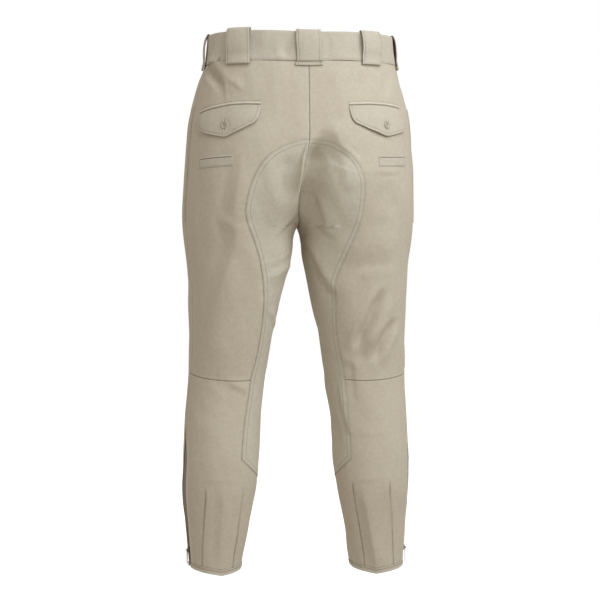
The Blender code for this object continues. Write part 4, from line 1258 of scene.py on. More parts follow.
loopShape = {
    "width": 42,
    "wall": 1.2,
    "edge": 3.6,  # stitching, from each side
    # lift off the cloth, height
    "foot": [(0.9, -30.4), (2.6, -32.8), (5.2, -32.3), (6.4, -29.6), (6.6, -25.5), (6.8, -20.5), (7.4, -15)],
    "barFoot": [
        (0.9, -34.9), (1.9, -35.4), (2.3, -34.6), (2.2, -31), (2.0, -28.6), (3.6, -27.6), (5.2, -26.4),
        (6.2, -23), (7.4, -17),
    ],
    "top": [(9.2, -8), (10.2, 3), (9.6, 13), (7.4, 22.0), (3.6, 27.4), (-0.2, 28.5), (-2.8, 26.0), (-3.2, 18)],
    "barSeam": -28.2,
    "barStitches": (-33.2, -30.2),
    # distance round from the centre back, share of the lift, extra height at the top, foot bar
    "places": {
        "loop_back_centre": (-0.5, 0.5, 0.6, True),
        "loop_back_left": (117, 0.9, 2.2, False),
        "loop_back_right": (-117.5, 0.8, 0.6, False),
        "loop_side_left": (232, 0.6, 0, False),
        "loop_side_right": (-212, 0.6, 0, False),
        "loop_front_left": (336, 1.0, 0, False),
        "loop_front_right": (-336, 1.0, 0, False),
    },
}


def makeLoop(name, centre, part, extra, bar):
    rows = np.array(loopShape["barFoot" if bar else "foot"] + loopShape["top"], float)
    path = curveThrough(rows, 60)
    path[:, 0] = np.where(path[:, 0] > 2, 2 + (path[:, 0] - 2) * part, path[:, 0])
    path[:, 1] += extra * smooth((path[:, 1] - 10) / 14)
    half = loopShape["width"] / 2
    seams = (loopShape["edge"], loopShape["width"] - loopShape["edge"])
    across = gradedSteps(loopShape["width"], 2.0, (0.25, 0.35, 0.5, 0.7), alsoAt=seams) - half
    seed = abs(centre) * 0.013
    lift = np.broadcast_to(path[:, :1], (len(path), len(across))).copy()
    height = np.broadcast_to(path[:, 1:], lift.shape)
    outer = half - np.abs(across)[None]
    stand = smooth(path[:, :1] / 8)
    inward = np.sign(np.gradient(path[:, 1]))[:, None]
    lift += inward * (edgeRoll(outer, 0.45, 1.0) + groove(outer - loopShape["edge"], 0.28, 0.65))
    twist = 0.4 * np.sin(across[None] * 0.11 + height * 0.06 + seed * 9)
    lift += stand * (0.7 * np.cos(across[None] / half * 1.4) - twist)
    spread = 1 - 0.025 * smooth((12 - height) / 20)
    if bar:
        spread = spread + 0.13 * smooth((-27 - height) / 2)
    sway = 1.2 * np.sin(height * 0.05 + seed * 20) * stand
    distance = centre + across[None] * spread + sway
    points = waistAt(distance * mm, height * mm, lift * mm)
    run = runAlong(path)
    flat = np.stack(np.broadcast_arrays(across[None] * mm, run[:, None] * mm), -1)
    # painted highlight just inside each edge, painted shade along the edges and the stitching
    worn = 0.25 * bell(outer, 1.6, 0.9) - 0.5 * bell(outer, 0, 0.7) - 0.25 * bell(outer, loopShape["edge"], 0.8)
    if bar:
        # painted shadow of the fold above the foot bar
        worn = worn - 0.8 * bell(height, loopShape["barSeam"], 0.9) * (lift > 0)
    near, far = (waistAt(np.array([centre * mm]), 0.0, out)[0] for out in (0.0, 0.02))
    makeSheet(name, points, flat, loopShape["wall"], trimTwill, worn, far - near)
    keep = np.flatnonzero(path[:, 1] >= path[0, 1] + 3)
    keep = keep[(keep < 50) & (keep > 3)]
    for edge in (-1, 1):
        spots = centre + edge * (half - loopShape["edge"]) * spread[:, 0] + sway[:, 0]
        sew(waistAt(spots[keep] * mm, path[keep, 1] * mm, (path[keep, 0] + 0.32) * mm))
    if bar:
        line = np.linspace(-half + 1, half - 1, 30) * 1.06 + centre
        for level in loopShape["barStitches"]:
            sew(waistAt(line * mm, level * mm, 2.3 * mm))


for side in (1, -1):
    makeBand(side)
for name, place in loopShape["places"].items():
    makeLoop(name, *place)

lapShape = {
    "reach": 38,
    "start": 20,
    "half": 24.4,
    "button": 22.8,  # round from the centre front
    "point": 7.5,  # how much narrower its end is, on each side
    "rows": 28,
    "evenTo": 0.956,  # share of its height
    "length": 49,
    "proud": 2.9,
    "wall": 1.4,
    "step": 1.6,
    # corners of the stitching and how many places between them
    "stitches": [
        ((17, 21), (-25, 21), 20),
        ((-26, 20.6), (-35, 14), 8),
        ((-35, 12), (-35, -12), 12),
        ((-35, -14), (-26, -20.6), 8),
        ((-25, -21), (17, -21), 20),
    ],
}


def makeLap():
    # pointed tab that closes the band over the centre front
    width = lapShape["reach"] + lapShape["start"]
    across = gradedSteps(width, lapShape["step"], (0.3, 0.4, 0.6, 0.9)) - lapShape["reach"]
    down = np.append(np.arange(lapShape["rows"]) * lapShape["evenTo"] / lapShape["rows"], 1) * 2 - 1
    half = lapShape["half"] - lapShape["point"] * smooth((-across - 26) / 12)
    height = half[None] * -down[:, None]
    place = np.broadcast_to(across[None], height.shape)
    toEnds = np.minimum(place + lapShape["reach"], lapShape["start"] - place)
    edge = np.minimum(half[None] - np.abs(height), toEnds)
    lift = lapShape["proud"] + edgeRoll(edge, 0.9, 1.4) + groove(edge - 3, 0.2, 0.6)
    reach = waistReach()
    distance = np.where(place >= 0, reach - place * mm, -(reach + place * mm))
    points = waistAt(distance, height * mm, lift * mm)
    flat = np.stack([place * mm, height * mm], -1)
    worn = 0.6 * np.exp(-edge / 1.2)
    makeSheet("waist_lap", points, flat, lapShape["wall"], trimTwill, worn, (0, -1, 0))
    ring = np.concatenate([np.linspace(start, end, count) for start, end, count in lapShape["stitches"]])
    around = np.where(ring[:, 0] >= 0, reach - ring[:, 0] * mm, -(reach + ring[:, 0] * mm))
    sew(waistAt(around, ring[:, 1] * mm, (lapShape["proud"] - 0.1) * mm))


makeLap()
print("waistband and loops made")

# Pocket flaps, jets, welts, side pockets and fly

# distance round from the centre back, upper edge, lower edge
flapShape = {
    1: [
        (80, -100.6, -102.5), (81.5, -100.5, -110), (84, -100.4, -121.3), (87, -100.2, -127.3),
        (92, -100, -132.8), (112, -99.6, -142.8), (136, -100.6, -152.8), (143, -101.4, -155.5),
        (150, -102.2, -155.1), (172, -105.6, -150.8), (190, -109, -146.3), (198, -110.8, -142.8),
        (203, -112, -137.3), (205, -113, -128.3),
    ],
    -1: [
        (70, -100.6, -102.5), (71.5, -100.4, -110), (74, -100.2, -120.8), (77, -100, -126.8),
        (82, -99.6, -131.8), (108, -98.2, -141.8), (134, -98, -150.7), (141, -98.2, -152.1),
        (148, -98.6, -151.3), (168, -99.8, -146.8), (183, -101.4, -143.3), (188, -112, -141.7),
        (193, -124, -139.3), (195.5, -130.5, -136.3),
    ],
    "lift": 1.6,
    "stand": {1: 3.2, -1: 3.4},  # more lift toward the free edge
    "standAt": 26,  # below the seam
    "sway": (0.8, 0.2, 0.07),
    "wall": 1.0,
    "step": 1.7,
    "length": 51,
    "needle": 4.6,
    "seamTuck": 1.1,
    "slit": 9.5,  # half length of the buttonhole
    "slitEdge": 2.3,
    "buttonEdge": 8.6,
}
flapButtons = {1: (144, -135), -1: (140, -133)}
jetShape = {
    "rows": {1: 13, -1: 11},  # of the flap's table that it follows
    "space": 0.4,
    "height": 4.2,
    "rise": 1.9,
    "wall": 0.4,
    "round": 12,  # of its strip
    "end": 2.6,
}
weltShape = {
    1: [(132, -188, -202), (155, -189, -203), (178, -190, -204), (201, -191, -206)],
    -1: [(126, -188, -202), (147, -187, -201), (168, -186, -200), (189, -185, -199)],
    "wall": 0.5,
    "margin": 2.4,
    "needle": 1.2,  # out from the slot's corners
    # depth below the slot's upper lip, lift there, and painted light there: shade down in the slot, a slight
    # painted highlight on the lips
    "profile": [
        (-2.4, 0.3, -0.1), (-2.0, 0.45, 0), (-1.2, 0.7, 0), (-0.6, 1.0, 0.1), (-0.2, 0.95, 0),
        (0.1, 0.5, -0.9), (0.7, 0.42, -1), (1.3, 0.5, -0.9), (1.7, 0.85, -0.1), (2.4, 1.0, 0.15),
        (4, 0.9, 0), (8, 0.8, 0), (11, 0.75, 0),
    ],
}


def tableLines(table, step, dense=None):
    # upper and lower edges of a trim table at close places along it, closest round one of them
    rows = np.array(table, float)
    spots = gradedSteps(rows[-1, 0] - rows[0, 0], step, (0.25, 0.35, 0.5, 0.8)) + rows[0, 0]
    spots = np.concatenate([spots, rows[:, 0]])
    if dense is not None:
        spots = np.concatenate([spots, dense + np.linspace(-5.4, 5.4, 13)])
    spots = np.unique(spots.round(2))
    spots = spots[np.concatenate([[True], np.diff(spots) > 0.15])]
    return spots, np.interp(spots, rows[:, 0], rows[:, 1]), np.interp(spots, rows[:, 0], rows[:, 2])


def closedEdge(spots, top, foot):
    return np.vstack([np.stack([spots, top], -1), np.stack([spots, foot], -1)[::-1], [[spots[0], top[0]]]])


def makeTrim(name, side, around, height, points, wall, worn):
    # a small piece laid on the back, its cut as wide as it reaches round
    flat = np.stack([around * mm, height * mm], -1)
    node, outward = name + sideNames[side], (side * 0.5, 1, 0)
    makeSheet(node, points, flat, wall, trimTwill, worn, outward)


def flapStand(side, around, drop):
    # how far a flap stands off below its seam
    least, size, rate = flapShape["sway"]
    stand = flapShape["stand"][side] * smooth(drop / flapShape["standAt"])
    return stand * (least + size * np.sin(around * rate + side))


def makeFlap(side):
    spots, top, foot = tableLines(flapShape[side], flapShape["step"], flapButtons[side][0])
    ends = [0, 0.008, 0.02, 0.04, 0.07], [0.925, 0.955, 0.975, 0.99, 1]
    share = np.concatenate([ends[0], np.linspace(0.11, 0.89, 22), ends[1]])
    height = top[None] + (foot - top)[None] * share[:, None]
    around = np.broadcast_to(spots[None], height.shape)
    outline = closedEdge(spots, top, foot)
    edge, along = toLine(np.stack([around, height], -1), outline[len(spots) - 1 :])
    toTop = height * 0 + (top[None] - height)
    needle = flapShape["needle"]
    lift = flapShape["lift"] + edgeRoll(edge, 0.85, 1.3) + groove(edge - needle, 0.24, 0.65)
    lift = lift + flapStand(side, around, toTop)
    lift = lift + pucker(np.abs(edge - needle) * mm, along * mm, 0.14 * mm, 4 * mm, 50 + side) / mm
    lift = lift - flapShape["seamTuck"] * smooth((2.2 - toTop) / 2.2)
    # the buttonhole's raised stitching and slit, and the cloth drawn in round the button
    middle, level = flapButtons[side]
    beside, above = around - middle, np.maximum(np.abs(height - level) - flapShape["slit"], 0)
    hole = np.hypot(beside, above)
    drawn = np.hypot(beside, height - level)
    lift = lift + 0.45 * bell(hole, flapShape["slitEdge"], 1.0) + groove(hole, 0.6, 0.9)
    lift = lift + groove(drawn - flapShape["buttonEdge"], 0.6, 2.2)
    points = backSpots(side, around * mm, height * mm, lift * mm)
    # painted highlight on the buttonhole's raised stitching, painted shade in the slit and beside it
    worn = 0.45 * bell(hole, flapShape["slitEdge"], 0.9) - 0.8 * bell(hole, 0, 0.9) - 0.3 * bell(hole, 4, 0.8)
    # painted highlight along the rolled edge, painted shade along the stitching
    worn = worn + 0.15 * np.exp(-edge / 0.8) - 0.3 * bell(edge, needle, 0.8)
    # painted shade where the flap tucks under its seam
    worn = worn - (0.7 + worn) * bell(toTop, 0, 1.1)
    wall, length = flapShape["wall"], flapShape["length"]
    makeTrim("hip_flap_", side, around, height, points, wall, worn)
    rows = np.array(flapShape[side], float)
    left, right = rows[0, 0] + needle, rows[-1, 0] - needle
    line = [(min(max(x, left), right), z + needle + 0.5) for x, _, z in rows[1:-1]]
    line = evenly(np.array([(left, rows[0, 1] - 4)] + line + [(right, rows[-1, 1] - 4)]), 120)
    drop = np.interp(line[:, 0], spots, top) - line[:, 1]
    rise = flapShape["lift"] + flapStand(side, line[:, 0], drop) - 0.1
    sew(backSpots(side, line[:, 0] * mm, line[:, 1] * mm, rise * mm))


def makeJet(side):
    # piped upper edge of the hip pocket
    spots, top, _ = tableLines(flapShape[side][: jetShape["rows"][side]], 2.0)
    turn = np.linspace(-0.10, 1.0, 15)
    low = top[None] + jetShape["space"]
    share = (1 - np.cos(np.pi * np.clip(turn, 0, 1)))[:, None] / 2
    ends = np.minimum(spots - spots[0], spots[-1] - spots)
    narrow = np.sqrt(np.clip(1 - (1 - np.clip(ends / jetShape["end"], 0, 1)) ** 2, 0, 1))[None] * 0.75 + 0.25
    height = low + jetShape["height"] * (1 - (share * narrow + (1 - narrow) / 2))
    lift = 0.35 + jetShape["rise"] * narrow * np.sin(np.pi * np.clip(share, 0, 1)) ** 0.62
    lift = lift + 0.12 * np.sin(spots[None] * 1.9) * narrow
    around = np.broadcast_to(spots[None], height.shape)
    points = backSpots(side, around * mm, height * mm, lift * mm)
    # painted highlight along the crown of the piping, painted shade down its sides
    crown = 4 * share * (1 - share)
    worn = 0.7 * crown - 0.45 * (1 - crown) ** 3
    wall, length = jetShape["wall"], jetShape["round"]
    makeTrim("hip_jet_", side, around, height + lift, points, wall, worn)
    sew(backSpots(side, spots * mm, (top + jetShape["space"] + jetShape["height"] + 2.2) * mm, 0.12 * mm))


def makeWelt(side):
    # jetted slot with a narrow welt below it, inside a stitched box
    margin = weltShape["margin"]
    spots, top, foot = tableLines(weltShape[side], 2.0)
    beyond = np.array([0.4, 1.4, margin])
    spots = np.concatenate([spots[0] - beyond[::-1], spots[1:-1], spots[-1] + beyond])
    rows = np.array(weltShape[side], float)
    top, foot = (np.interp(spots, rows[:, 0], rows[:, k]) for k in (1, 2))
    profile = np.array(weltShape["profile"])
    down = np.concatenate([profile[:-1, 0], np.linspace(8.4, 11, 4)])
    total = float((top - foot).mean())
    down = np.concatenate([down[down < total - 2], total + np.array([-1.4, -0.9, -0.4, 0, 0.8, 1.6, margin])])
    height = top[None] - down[:, None]
    around = np.broadcast_to(spots[None], height.shape)
    lift = np.interp(down, profile[:, 0], profile[:, 1])[:, None] + 0 * height
    worn = np.interp(down, profile[:, 0], profile[:, 2])[:, None] + 0 * height
    inside = np.minimum(spots - rows[0, 0], rows[-1, 0] - spots)[None]
    within = smooth((inside + 0.2) / 1.0)
    lift = 0.55 + (lift - 0.55) * within
    lift = lift - 0.25 * smooth((down[:, None] - total + 0.2) / 1.2)
    # painted shade along the welt's lower edge
    worn = worn * within - 0.3 * bell(down[:, None], total, 0.8) * within
    toSides = np.minimum(spots - spots[0], spots[-1] - spots)
    toEnds = np.minimum(down - down[0], down[-1] - down)
    outer = np.minimum(toSides[None], toEnds[:, None])
    lift = lift + edgeRoll(outer, 0.3, 0.9)
    points = backSpots(side, around * mm, height * mm, lift * mm)
    makeTrim("lower_welt_", side, around, height, points, weltShape["wall"], worn)
    out = weltShape["needle"]
    left, leftTop, leftFoot = rows[0] + (-out, out, -out)
    right, rightTop, rightFoot = rows[-1] + (out, out, -out)
    ring = np.array([(left, leftTop), (right, rightTop), (right, rightFoot), (left, leftFoot), (left, leftTop)])
    for a, b in zip(ring, ring[1:]):
        line = a + (b - a) * np.linspace(0, 1, 24)[:, None]
        sew(backSpots(side, line[:, 0] * mm, line[:, 1] * mm, 0.5 * mm))


def stitchedEdge(shape, edge):
    # lift of a flat piece with its edge turned in and stitched down, paler at its edge, with painted shade
    # along the stitching
    lift = shape["lift"] + edgeRoll(edge, 0.9, 1.4) + groove(edge - shape["needle"], 0.2, 0.6)
    return lift, 0.2 * np.exp(-edge / 0.9) - 0.35 * bell(edge, shape["needle"], 0.8)


# height, near and far edges measured forward from the side seam
sidePocketShape = {
    "rows": [(-98, 3, 24), (-140, 3, 25), (-185, 3, 26), (-225, 3, 26), (-262, 3, 25), (-296, 3, 22)],
    "lift": 1.25,
    "wall": 1.0,
    "cut": (23, 198),
    "needle": 2.6,
}


def makeSidePocket(side):
    rows = np.array(sidePocketShape["rows"], float)[::-1]
    heights = rows[-1, 0] - gradedSteps(rows[-1, 0] - rows[0, 0], 2.4, (0.3, 0.4, 0.6, 0.9))
    near, far = (np.interp(heights, rows[:, 0], rows[:, k]) for k in (1, 2))
    share = np.concatenate([[0, 0.015, 0.04, 0.08], np.linspace(0.14, 0.86, 11), [0.92, 0.96, 0.985, 1]])
    run = near[:, None] + (far - near)[:, None] * share[None]
    height = np.broadcast_to(heights[:, None], run.shape)
    toSides = np.minimum(run - near[:, None], far[:, None] - run)
    edge = np.minimum(toSides, np.minimum(rows[-1, 0] - height, height - rows[0, 0]))
    wall, cut, needle = (sidePocketShape[key] for key in ("wall", "cut", "needle"))
    lift, worn = stitchedEdge(sidePocketShape, edge)
    points = clothAt(side, "front", run * mm, height * mm, lift * mm)
    flat = np.stack([run * mm, height * mm], -1)
    node = "side_pocket_" + sideNames[side]
    makeSheet(node, points, flat, wall, trimTwill, worn, (side, -0.3, 0))
    spots = np.linspace(rows[-1, 0] - 3, rows[0, 0] + 3, 130)
    for k, inward in ((1, needle), (2, -needle)):
        edgeAt = np.interp(spots, rows[:, 0], rows[:, k]) + inward
        sew(clothAt(side, "front", edgeAt * mm, spots * mm, (sidePocketShape["lift"] - 0.1) * mm))


# distance from the centre front, lower edge there
flyShape = {
    "rows": [(0.8, -205), (12, -203), (24, -190), (34, -164), (38, -130)],
    "stitches": [(34.5, -32), (34.5, -90), (34.4, -128), (31, -160), (22, -186), (11, -199), (2, -201.5)],
    "top": -26.8,
    "lift": 1.5,
    "wall": 1.0,
    "cut": (38, 180),
    "needle": 3.2,
}


def makeFly():
    rows = np.array(flyShape["rows"], float)
    spots = gradedSteps(rows[-1, 0] - rows[0, 0], 1.8, (0.25, 0.35, 0.5, 0.8)) + rows[0, 0]
    foot = np.interp(spots, rows[:, 0], rows[:, 1])
    share = np.concatenate([np.linspace(0, 0.97, 66), [0.98, 0.988, 0.994, 0.998, 1]])
    height = flyShape["top"] + (foot - flyShape["top"])[None] * share[:, None]
    around = np.broadcast_to(spots[None], height.shape)
    ends = [[spots[0], flyShape["top"]]], [[spots[-1], flyShape["top"]]]
    outline = np.vstack([ends[0], np.stack([spots, foot], -1), ends[1]])
    edge, _ = toLine(np.stack([around, height], -1), outline)
    wall, cut = flyShape["wall"], flyShape["cut"]
    lift, worn = stitchedEdge(flyShape, edge)
    level = height * mm
    points = clothAt(1, "front", widthAt("front", level) - around * mm, level, lift * mm)
    flat = np.stack([around * mm, level], -1)
    makeSheet("fly_front", points, flat, wall, trimTwill, worn, (0, -1, 0))
    curve = curveThrough(flyShape["stitches"], 150) * mm
    run = widthAt("front", curve[:, 1]) - curve[:, 0]
    sew(clothAt(1, "front", run, curve[:, 1], (flyShape["lift"] - 0.1) * mm))


for side in (1, -1):
    makeFlap(side)
    makeJet(side)
    makeWelt(side)
    makeSidePocket(side)
makeFly()
print("pockets and fly made")

# Zips on the outer calves: tape, teeth, slider and pull

teethShape = {"pitch": 2.5, "width": 2.8, "along": 1.25, "thick": 1.1, "spread": 0.85, "end": 3}


def zipSpots(side, offset, height, lift):
    # points across the zip: offset is forward of the side seam where it is positive
    ahead = clothAt(side, "front", np.maximum(offset, 0), height, lift)
    behind = clothAt(side, "back", np.maximum(-offset, 0), height, lift)
    return np.where((offset >= 0)[..., None], ahead, behind)


def zipBulge(side, height):
    (foot, footFade), (top, topFade) = zipShape["bulgeFoot"], zipShape["bulgeTop"]
    rise = smooth((height - foot * mm) / (footFade * mm)) * smooth((top * mm - height) / (topFade * mm))
    return zipShape["bulge"][side] * mm * rise


def makeTape(side):
    span = zipShape["top"] - zipShape["foot"]
    down = gradedSteps(span, 4.0, (0.8, 1.2))
    across = np.array(zipShape["across"])
    across = np.concatenate([-across[::-1], across])
    height = np.broadcast_to((zipShape["top"] - down)[:, None] * mm, (len(down), len(across)))
    offset = np.broadcast_to(across[None] * mm, height.shape)
    window = np.where(offset > 0, zipWindow(height, side, "front"), zipWindow(height, side, "back"))
    within, over = zipShape["tuck"]
    tucked = smooth((np.abs(offset) - window + within * mm) / (over * mm))
    cord, place, width = zipShape["cord"]
    lift = zipBulge(side, height) * (1 - tucked) - zipShape["depth"] * mm
    lift = lift + cord * mm * bell(np.abs(offset), place * mm, width * mm)
    points = zipSpots(side, offset, height, lift)
    flat = np.stack([offset, height], -1)
    node = "zip_tape_" + sideNames[side]
    wall = zipShape["wall"]
    makeSheet(node, points, flat, wall, zipTapeLook, 0.0, (side, 0, 0))


def growAlong(name, lines, build, settings, material):
    # a mesh of what build makes, put along lines of (points, outward directions)
    spots, outs, edges = [], [], []
    for points, out in lines:
        start = len(spots)
        spots += [tuple(p) for p in points]
        outs += [tuple(o) for o in out]
        edges += [(start + k, start + k + 1) for k in range(len(points) - 1)]
    mesh = bpy.data.meshes.new(name)
    mesh.from_pydata(spots, edges, [])
    attribute = mesh.attributes.new("out", "FLOAT_VECTOR", "POINT")
    attribute.data.foreach_set("vector", np.array(outs, np.float32).reshape(-1))
    piece = addObject(name, mesh)
    tree = newTree(name, build, settings, material)
    grower = piece.modifiers.new("Grow", "NODES")
    grower.node_group = tree
    for item in tree.interface.items_tree:
        if item.item_type == "SOCKET" and item.name in settings:
            grower[item.identifier] = settings[item.name]
    graph = bpy.context.evaluated_depsgraph_get()
    grown = bpy.data.meshes.new_from_object(
        piece.evaluated_get(graph), preserve_all_data_layers=True, depsgraph=graph
    )
    piece.modifiers.remove(grower)
    piece.data = grown
    grown.name = name
    bpy.data.meshes.remove(mesh)
    return piece


def newTree(name, build, settings, material):
    # puts what build makes at even steps along every line of a mesh
    tree = bpy.data.node_groups.new(name, "GeometryNodeTree")
    tree.interface.new_socket("Geometry", in_out="INPUT", socket_type="NodeSocketGeometry")
    for label, value in settings.items():
        kind = "NodeSocketInt" if isinstance(value, int) else "NodeSocketFloat"
        tree.interface.new_socket(label, in_out="INPUT", socket_type=kind).default_value = value
    tree.interface.new_socket("Geometry", in_out="OUTPUT", socket_type="NodeSocketGeometry")
    sizes = addNode(tree, "NodeGroupInput")
    pitch, block, turned, size = build(tree, sizes)
    curve = addNode(tree, "GeometryNodeMeshToCurve", {}, {"Mesh": (sizes, "Geometry")})
    links = {"Curve": (curve, "Curve"), "Length": pitch}
    spaced = addNode(tree, "GeometryNodeResampleCurve", {"mode": "LENGTH"}, links)
    links = {"Points": (spaced, "Curve"), "Instance": (block, "Mesh")}
    links.update({"Rotation": (turned, "Rotation"), "Scale": (size, "Vector")})
    put = addNode(tree, "GeometryNodeInstanceOnPoints", {}, links)
    real = addNode(tree, "GeometryNodeRealizeInstances", {}, {"Geometry": (put, "Instances")})
    finish = addNode(tree, "GeometryNodeSetMaterial", {"Material": material}, {"Geometry": (real, "Geometry")})
    addNode(tree, "NodeGroupOutput", {}, {"Geometry": (finish, "Geometry")})
    return tree


def addThread(tree, sizes):
    # thread showing between needle holes: slim beads along the sewn lines
    pitch = addMath(tree, "ADD", (sizes, "Stitch"), (sizes, "Gap"))
    way = addNode(tree, "GeometryNodeInputTangent")
    turned = addNode(tree, "FunctionNodeAlignRotationToVector", {"axis": "Z"}, {"Vector": (way, "Tangent")})
    half = addMath(tree, "MULTIPLY", (sizes, "Stitch"), 0.5)
    settings = {"data_type": "FLOAT", 2: 0.86, 3: 1.14}
    uneven = addNode(tree, "FunctionNodeRandomValue", settings, {"Seed": (sizes, "Seed")})
    length = addMath(tree, "MULTIPLY", (half, "Value"), (uneven, 1))
    radius = (sizes, "Thread radius")
    size = addNode(tree, "ShaderNodeCombineXYZ", {}, {"X": radius, "Y": radius, "Z": (length, "Value")})
    bead = addNode(tree, "GeometryNodeMeshUVSphere", {"Segments": 5, "Rings": 4, "Radius": 1.0})
    return (pitch, "Value"), bead, turned, size


def addTooth(tree, sizes):
    # moulded teeth across the zip: flat eight-sided blocks
    out = addNode(tree, "GeometryNodeInputNamedAttribute", {"data_type": "FLOAT_VECTOR", "Name": "out"})
    up = addNode(tree, "FunctionNodeAlignRotationToVector", {"axis": "Z"}, {"Vector": (out, "Attribute")})
    way = addNode(tree, "GeometryNodeInputTangent")
    links = {"Rotation": (up, "Rotation"), "Vector": (way, "Tangent")}
    turned = addNode(tree, "FunctionNodeAlignRotationToVector", {"axis": "Y", "pivot_axis": "Z"}, links)
    links = {"X": (sizes, "Width"), "Y": (sizes, "Along"), "Z": (sizes, "Thick")}
    size = addNode(tree, "ShaderNodeCombineXYZ", {}, links)
    block = addNode(tree, "GeometryNodeMeshCylinder", {"Vertices": 8, "Radius": 0.5, "Depth": 1.0})
    return (sizes, "Pitch"), block, turned, size


def finishHard(piece, node=None):
    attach(piece, "breeches")
    if node:
        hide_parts(node)


def makeTeeth(side):
    lines = []
    end = teethShape["end"]
    for row, offset in ((0, teethShape["spread"]), (1, -teethShape["spread"])):
        start = zipShape["top"] - end - row * teethShape["pitch"] / 2
        height = np.linspace(start, zipShape["foot"] + end, 120) * mm
        place = np.full(len(height), offset * mm)
        low = zipSpots(side, place, height, zipBulge(side, height) - (zipShape["depth"] - 0.1) * mm)
        high = zipSpots(side, place, height, zipBulge(side, height) + (1 - zipShape["depth"]) * mm)
        lines.append(((low + high) / 2, unit(high - low)))
    settings = {key.capitalize(): teethShape[key] * mm for key in ("pitch", "width", "along", "thick")}
    piece = growAlong("zip_teeth_" + sideNames[side], lines, addTooth, settings, metalLook)
    finishHard(piece)


for side in (1, -1):
    makeTape(side)
    makeTeeth(side)
    for name in ("zip_slider_", "zip_pull_"):
        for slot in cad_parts[name + sideNames[side]].material_slots:
            slot.material = metalLook

# Buttons

buttonShape = {
    "flap": {"radius": 6.5, "thick": 2.2},
    "waist": {"radius": 8.5, "thick": 2.6},
    # share of the radius, share of the thickness
    "profile": [
        (0, 0.55), (0.3, 0.55), (0.52, 0.58), (0.6, 0.66), (0.68, 0.86), (0.78, 0.98), (0.88, 1.0),
        (0.96, 0.88), (1.0, 0.6), (0.98, 0.32), (0.88, 0.12), (0.7, 0.02), (0.4, 0), (0, 0),
    ],
    "sides": 40,
    "holeRadius": 0.11,  # of the button's radius
    "holeSpread": 0.18,
    "threadRadius": 0.26,
    "strands": (-0.25, 0.25),
    "flapDrop": 34,  # where the flap carries its button
    "offFlap": 0.7,
}


def workedMesh(name, work, look):
    mesh = bpy.data.meshes.new(name)
    bmesh.ops.recalc_face_normals(work, faces=work.faces[:])
    work.to_mesh(mesh)
    work.free()
    mesh.materials.append(look)
    return mesh


def makeButton(name, size, centre, out):
    # turned button with a rim, a dished face and four holes crossed by thread
    radius, thick = size["radius"] * mm, size["thick"] * mm
    spread, around = buttonShape["holeSpread"] * radius, buttonShape["sides"]
    out = Vector(out).normalized()
    right = Vector((0, 0, 1)).cross(out).normalized()
    up = out.cross(right)
    seat = Matrix((right, up, out)).transposed().to_4x4()
    seat.translation = Vector(centre)
    work = bmesh.new()
    rings = []
    turns = np.linspace(0, 2 * math.pi, around, endpoint=False)
    for share, height in buttonShape["profile"]:
        wide, level = share * radius, height * thick
        places = [(wide * math.cos(a), wide * math.sin(a), level) for a in turns] if share else [(0, 0, level)]
        rings.append([work.verts.new(place) for place in places])
    for first, second in zip(rings, rings[1:]):
        for k in range(around):
            n = (k + 1) % around
            if len(first) == 1:
                work.faces.new((first[0], second[k], second[n]))
            elif len(second) == 1:
                work.faces.new((first[k], second[0], first[n]))
            else:
                work.faces.new((first[k], second[k], second[n], first[n]))
    piece = addObject(name + "_turned", workedMesh(name, work, resinLook))
    drill = bmesh.new()
    bore = buttonShape["holeRadius"] * radius
    for x, y in ((1, 1), (1, -1), (-1, 1), (-1, -1)):
        spot = Matrix.Translation((x * spread, y * spread, thick * 0.5))
        bmesh.ops.create_cone(
            drill, cap_ends=True, segments=12, radius1=bore, radius2=bore, depth=thick * 3, matrix=spot
        )
    drillMesh = bpy.data.meshes.new("drill")
    drill.to_mesh(drillMesh)
    drill.free()
    cutter = addObject("drill", drillMesh)
    hole = piece.modifiers.new("Holes", "BOOLEAN")
    hole.operation = "DIFFERENCE"
    hole.solver = "EXACT"
    hole.object = cutter
    graph = bpy.context.evaluated_depsgraph_get()
    drilled = bpy.data.meshes.new_from_object(piece.evaluated_get(graph), depsgraph=graph)
    piece.modifiers.remove(hole)
    bpy.data.objects.remove(cutter)
    piece.data = drilled
    drilled.transform(seat)
    drilled.shade_smooth()
    thread = bmesh.new()
    for x in (-spread, spread):
        for turn in buttonShape["strands"]:
            bow = []
            for t in np.linspace(0, 1, 9):
                rise = 0.42 * math.sin(math.pi * t) - 0.5 * abs(2 * t - 1) ** 6
                bow.append(Vector((x + turn * mm, -spread + 2 * spread * t, thick * 0.55 + rise * mm)))
            addTube(thread, bow, buttonShape["threadRadius"] * mm, 6)
    strands = addObject(name + "_thread", workedMesh(name + "_thread", thread, threadLook))
    strands.data.transform(seat)
    strands.data.shade_smooth()
    finishHard(piece, name)
    finishHard(strands)


def addTube(work, path, radius, sides):
    # round tube through the points of a path
    rings = []
    normal = (path[1] - path[0]).normalized().orthogonal()
    turns = np.linspace(0, 2 * math.pi, sides, endpoint=False)
    for k, point in enumerate(path):
        tangent = (path[min(k + 1, len(path) - 1)] - path[max(k - 1, 0)]).normalized()
        normal = (normal - tangent * normal.dot(tangent)).normalized()
        other = tangent.cross(normal)
        ring = [point + radius * (math.cos(a) * normal + math.sin(a) * other) for a in turns]
        rings.append([work.verts.new(place) for place in ring])
    for first, second in zip(rings, rings[1:]):
        for k in range(sides):
            n = (k + 1) % sides
            work.faces.new((first[k], second[k], second[n], first[n]))
    work.faces.new(rings[0][::-1])
    work.faces.new(rings[-1])


